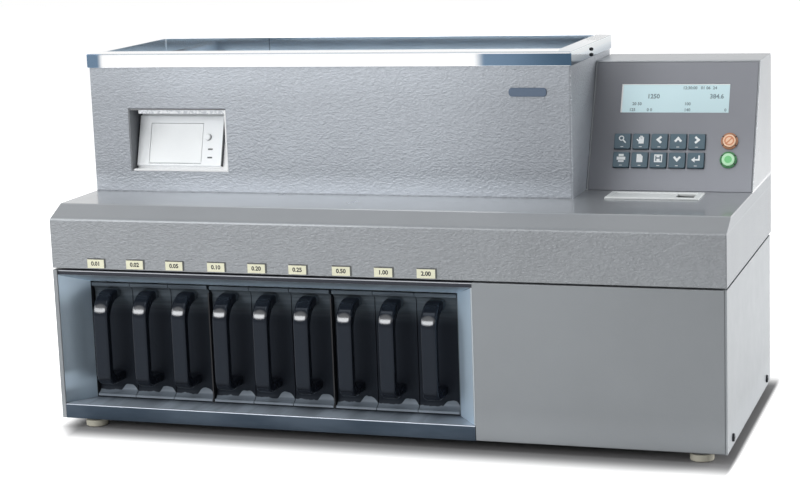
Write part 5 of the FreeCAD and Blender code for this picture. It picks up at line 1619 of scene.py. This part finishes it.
class SORTER_OT_console(bpy.types.Operator):
    """Sloping console with its display and button rings"""
    bl_idname = "sorter.console"
    bl_label = "Console"

    def execute(self, context):
        sizes = context.scene.sorter_sizes
        softened("control_panel", sizes.edge * CONSOLE_EDGE, finishes["overlay"])
        painted(finishes["screen"], "display_module")
        outward = -joint_axis("start_button_press")
        face = seat_on("display_module", outward)
        width, height = DISPLAY_WINDOW
        items = []
        for text, scale, across, up in SCREEN_ROWS:
            place = face @ Matrix.Translation((across * width, up * height, sizes.ink_depth * INK_RISE))
            items.append((text, sizes.screen_text * scale, place))
        numbers_piece("screen_figures", items, "lid", finishes["segments"])
        shape = bmesh.new()
        left, right, foot, head = -width / 2, width / 2, -height / 2, height / 2
        bar(shape, left, left + SCREEN_EDGE, foot, head)
        bar(shape, left + SCREEN_EDGE, right, head - SCREEN_EDGE * SCREEN_HEAD_SHARE, head)
        mesh = thickened("screen_edge", shape, SCREEN_EDGE_DEPTH)
        mesh.transform(face)
        seated(linked("screen_edge", mesh), "lid", finishes["ink"])
        panel = seat_on("control_panel", outward)
        button_ring("start", panel, finishes["go_ring"])
        button_ring("stop", panel, finishes["halt_ring"])
        return {"FINISHED"}


class SORTER_OT_keys(bpy.types.Operator):
    """Ten keys with their signs"""
    bl_idname = "sorter.keys"
    bl_label = "Keys"

    def execute(self, context):
        size = context.scene.sorter_sizes.sign
        ink = finishes["ink"]
        for number, kind in enumerate(KEY_SIGNS, 1):
            node = f"key_{number}"
            painted(finishes["slate"], node)
            place = pressed_face(node)
            above, below = (0.0, size * SIGN_RISE), (0.0, -size * MARK_DROP)
            sign_piece(f"{node}_sign", kind, place, size, node, ink, above)
            sign_piece(f"{node}_mark", "underline", place, size * MARK_SIZE, node, ink, below)
        return {"FINISHED"}


class SORTER_OT_buttons(bpy.types.Operator):
    """Round start and stop buttons"""
    bl_idname = "sorter.buttons"
    bl_label = "Buttons"

    def execute(self, context):
        for node, kind, cap, mark in (("start_button", "disc", "go", "go_sign"),
                                      ("stop_button", "slashed", "halt", "halt_sign")):
            painted(finishes[cap], node)
            place = pressed_face(node)
            size = BUTTON_RADIUS * BUTTON_SIGN
            sign_piece(f"{node}_sign", kind, place, size, node, finishes[mark])
        return {"FINISHED"}


class SORTER_OT_labels(bpy.types.Operator):
    """Card holders with plain coin values"""
    bl_idname = "sorter.labels"
    bl_label = "Labels"

    def execute(self, context):
        sizes = context.scene.sorter_sizes
        low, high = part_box("label_plates")
        face_y = low.y + sizes.ink_depth
        cards = softened("label_plates", 0.0, finishes["card"])
        for corner in cards.data.vertices:
            corner.co.y = max(corner.co.y, face_y)
        # Dark cards behind the labels, offset up and to the right, are painted shadows
        aside, above = LABEL_SHADOW_OFFSET
        items = []
        shadow_places = []
        for number, text in enumerate(LABEL_VALUES, 1):
            box_low, box_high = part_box(f"coin_box_{number}")
            middle = Vector(((box_low.x + box_high.x) / 2 + LABEL_SHIFT, face_y, (low.z + high.z) / 2))
            place = Matrix.Translation(middle - Vector((0, sizes.ink_depth * INK_RISE, 0))) @ UPRIGHT
            items.append((text, sizes.label_text, place))
            shadow_places.append((middle.x + aside, high.y - LABEL_SHADOW_DEPTH / 2, middle.z + above))
        numbers_piece("label_figures", items, "lid", finishes["print"])
        width, height = LABEL_SHADOW
        values = {"Size": (width, LABEL_SHADOW_DEPTH, height)}
        piece = card_growth(finishes["card_back"]).grow("label_backs", values, shadow_places)
        seated(piece, "lid", finishes["card_back"])
        return {"FINISHED"}


class SORTER_OT_works(bpy.types.Operator):
    """Sorting rail, disc, belts, motors and electrics inside the case"""
    bl_idname = "sorter.works"
    bl_label = "Works"

    def execute(self, context):
        painted(finishes["alloy"], "sort_rail", "sort_disc", "rail_drive_pulley", "rail_idler_pulley")
        painted(finishes["motor"], "rail_motor", "disc_motor")
        painted(finishes["works"], "coin_sensor")
        painted(finishes["plated"], "power_supply", "disc_bowl")
        painted(finishes["board"], "control_board")
        grow_belt("transport_belt", *RAIL_BELT)
        return {"FINISHED"}


class SORTER_PT_panel(bpy.types.Panel):
    """Lists the steps and the values they use"""
    bl_idname = "SORTER_PT_panel"
    bl_label = "Coin sorter"
    bl_space_type = "VIEW_3D"
    bl_region_type = "UI"
    bl_category = "Coin sorter"

    def draw(self, context):
        for operator in STEPS:
            self.layout.operator(operator.bl_idname)
        for group in (context.scene.sorter_colours, context.scene.sorter_sizes, context.scene.sorter_stage):
            for name in group.bl_rna.properties.keys():
                if name not in ("rna_type", "name"):
                    self.layout.prop(group, name)


STEPS = (SORTER_OT_finishes, SORTER_OT_case, SORTER_OT_bay, SORTER_OT_boxes, SORTER_OT_lid, SORTER_OT_hopper,
         SORTER_OT_printer, SORTER_OT_console, SORTER_OT_keys, SORTER_OT_buttons, SORTER_OT_labels,
         SORTER_OT_works, SORTER_OT_stage)
GROUPS = (SorterColours, SorterSizes, SorterStage)


def register():
    for made in (*GROUPS, *STEPS, SORTER_PT_panel):
        bpy.utils.register_class(made)
    bpy.types.Scene.sorter_colours = PointerProperty(type=SorterColours)
    bpy.types.Scene.sorter_sizes = PointerProperty(type=SorterSizes)
    bpy.types.Scene.sorter_stage = PointerProperty(type=SorterStage)


def unregister():
    del bpy.types.Scene.sorter_stage
    del bpy.types.Scene.sorter_sizes
    del bpy.types.Scene.sorter_colours
    for made in reversed((*GROUPS, *STEPS, SORTER_PT_panel)):
        bpy.utils.unregister_class(made)


def main():
    register()
    bpy.ops.sorter.finishes()
    bpy.ops.sorter.case()
    bpy.ops.sorter.bay()
    bpy.ops.sorter.boxes()
    bpy.ops.sorter.lid()
    bpy.ops.sorter.hopper()
    bpy.ops.sorter.printer()
    bpy.ops.sorter.console()
    bpy.ops.sorter.keys()
    bpy.ops.sorter.buttons()
    bpy.ops.sorter.labels()
    bpy.ops.sorter.works()
    bpy.ops.sorter.stage()


if __name__ == "__main__":
    main()
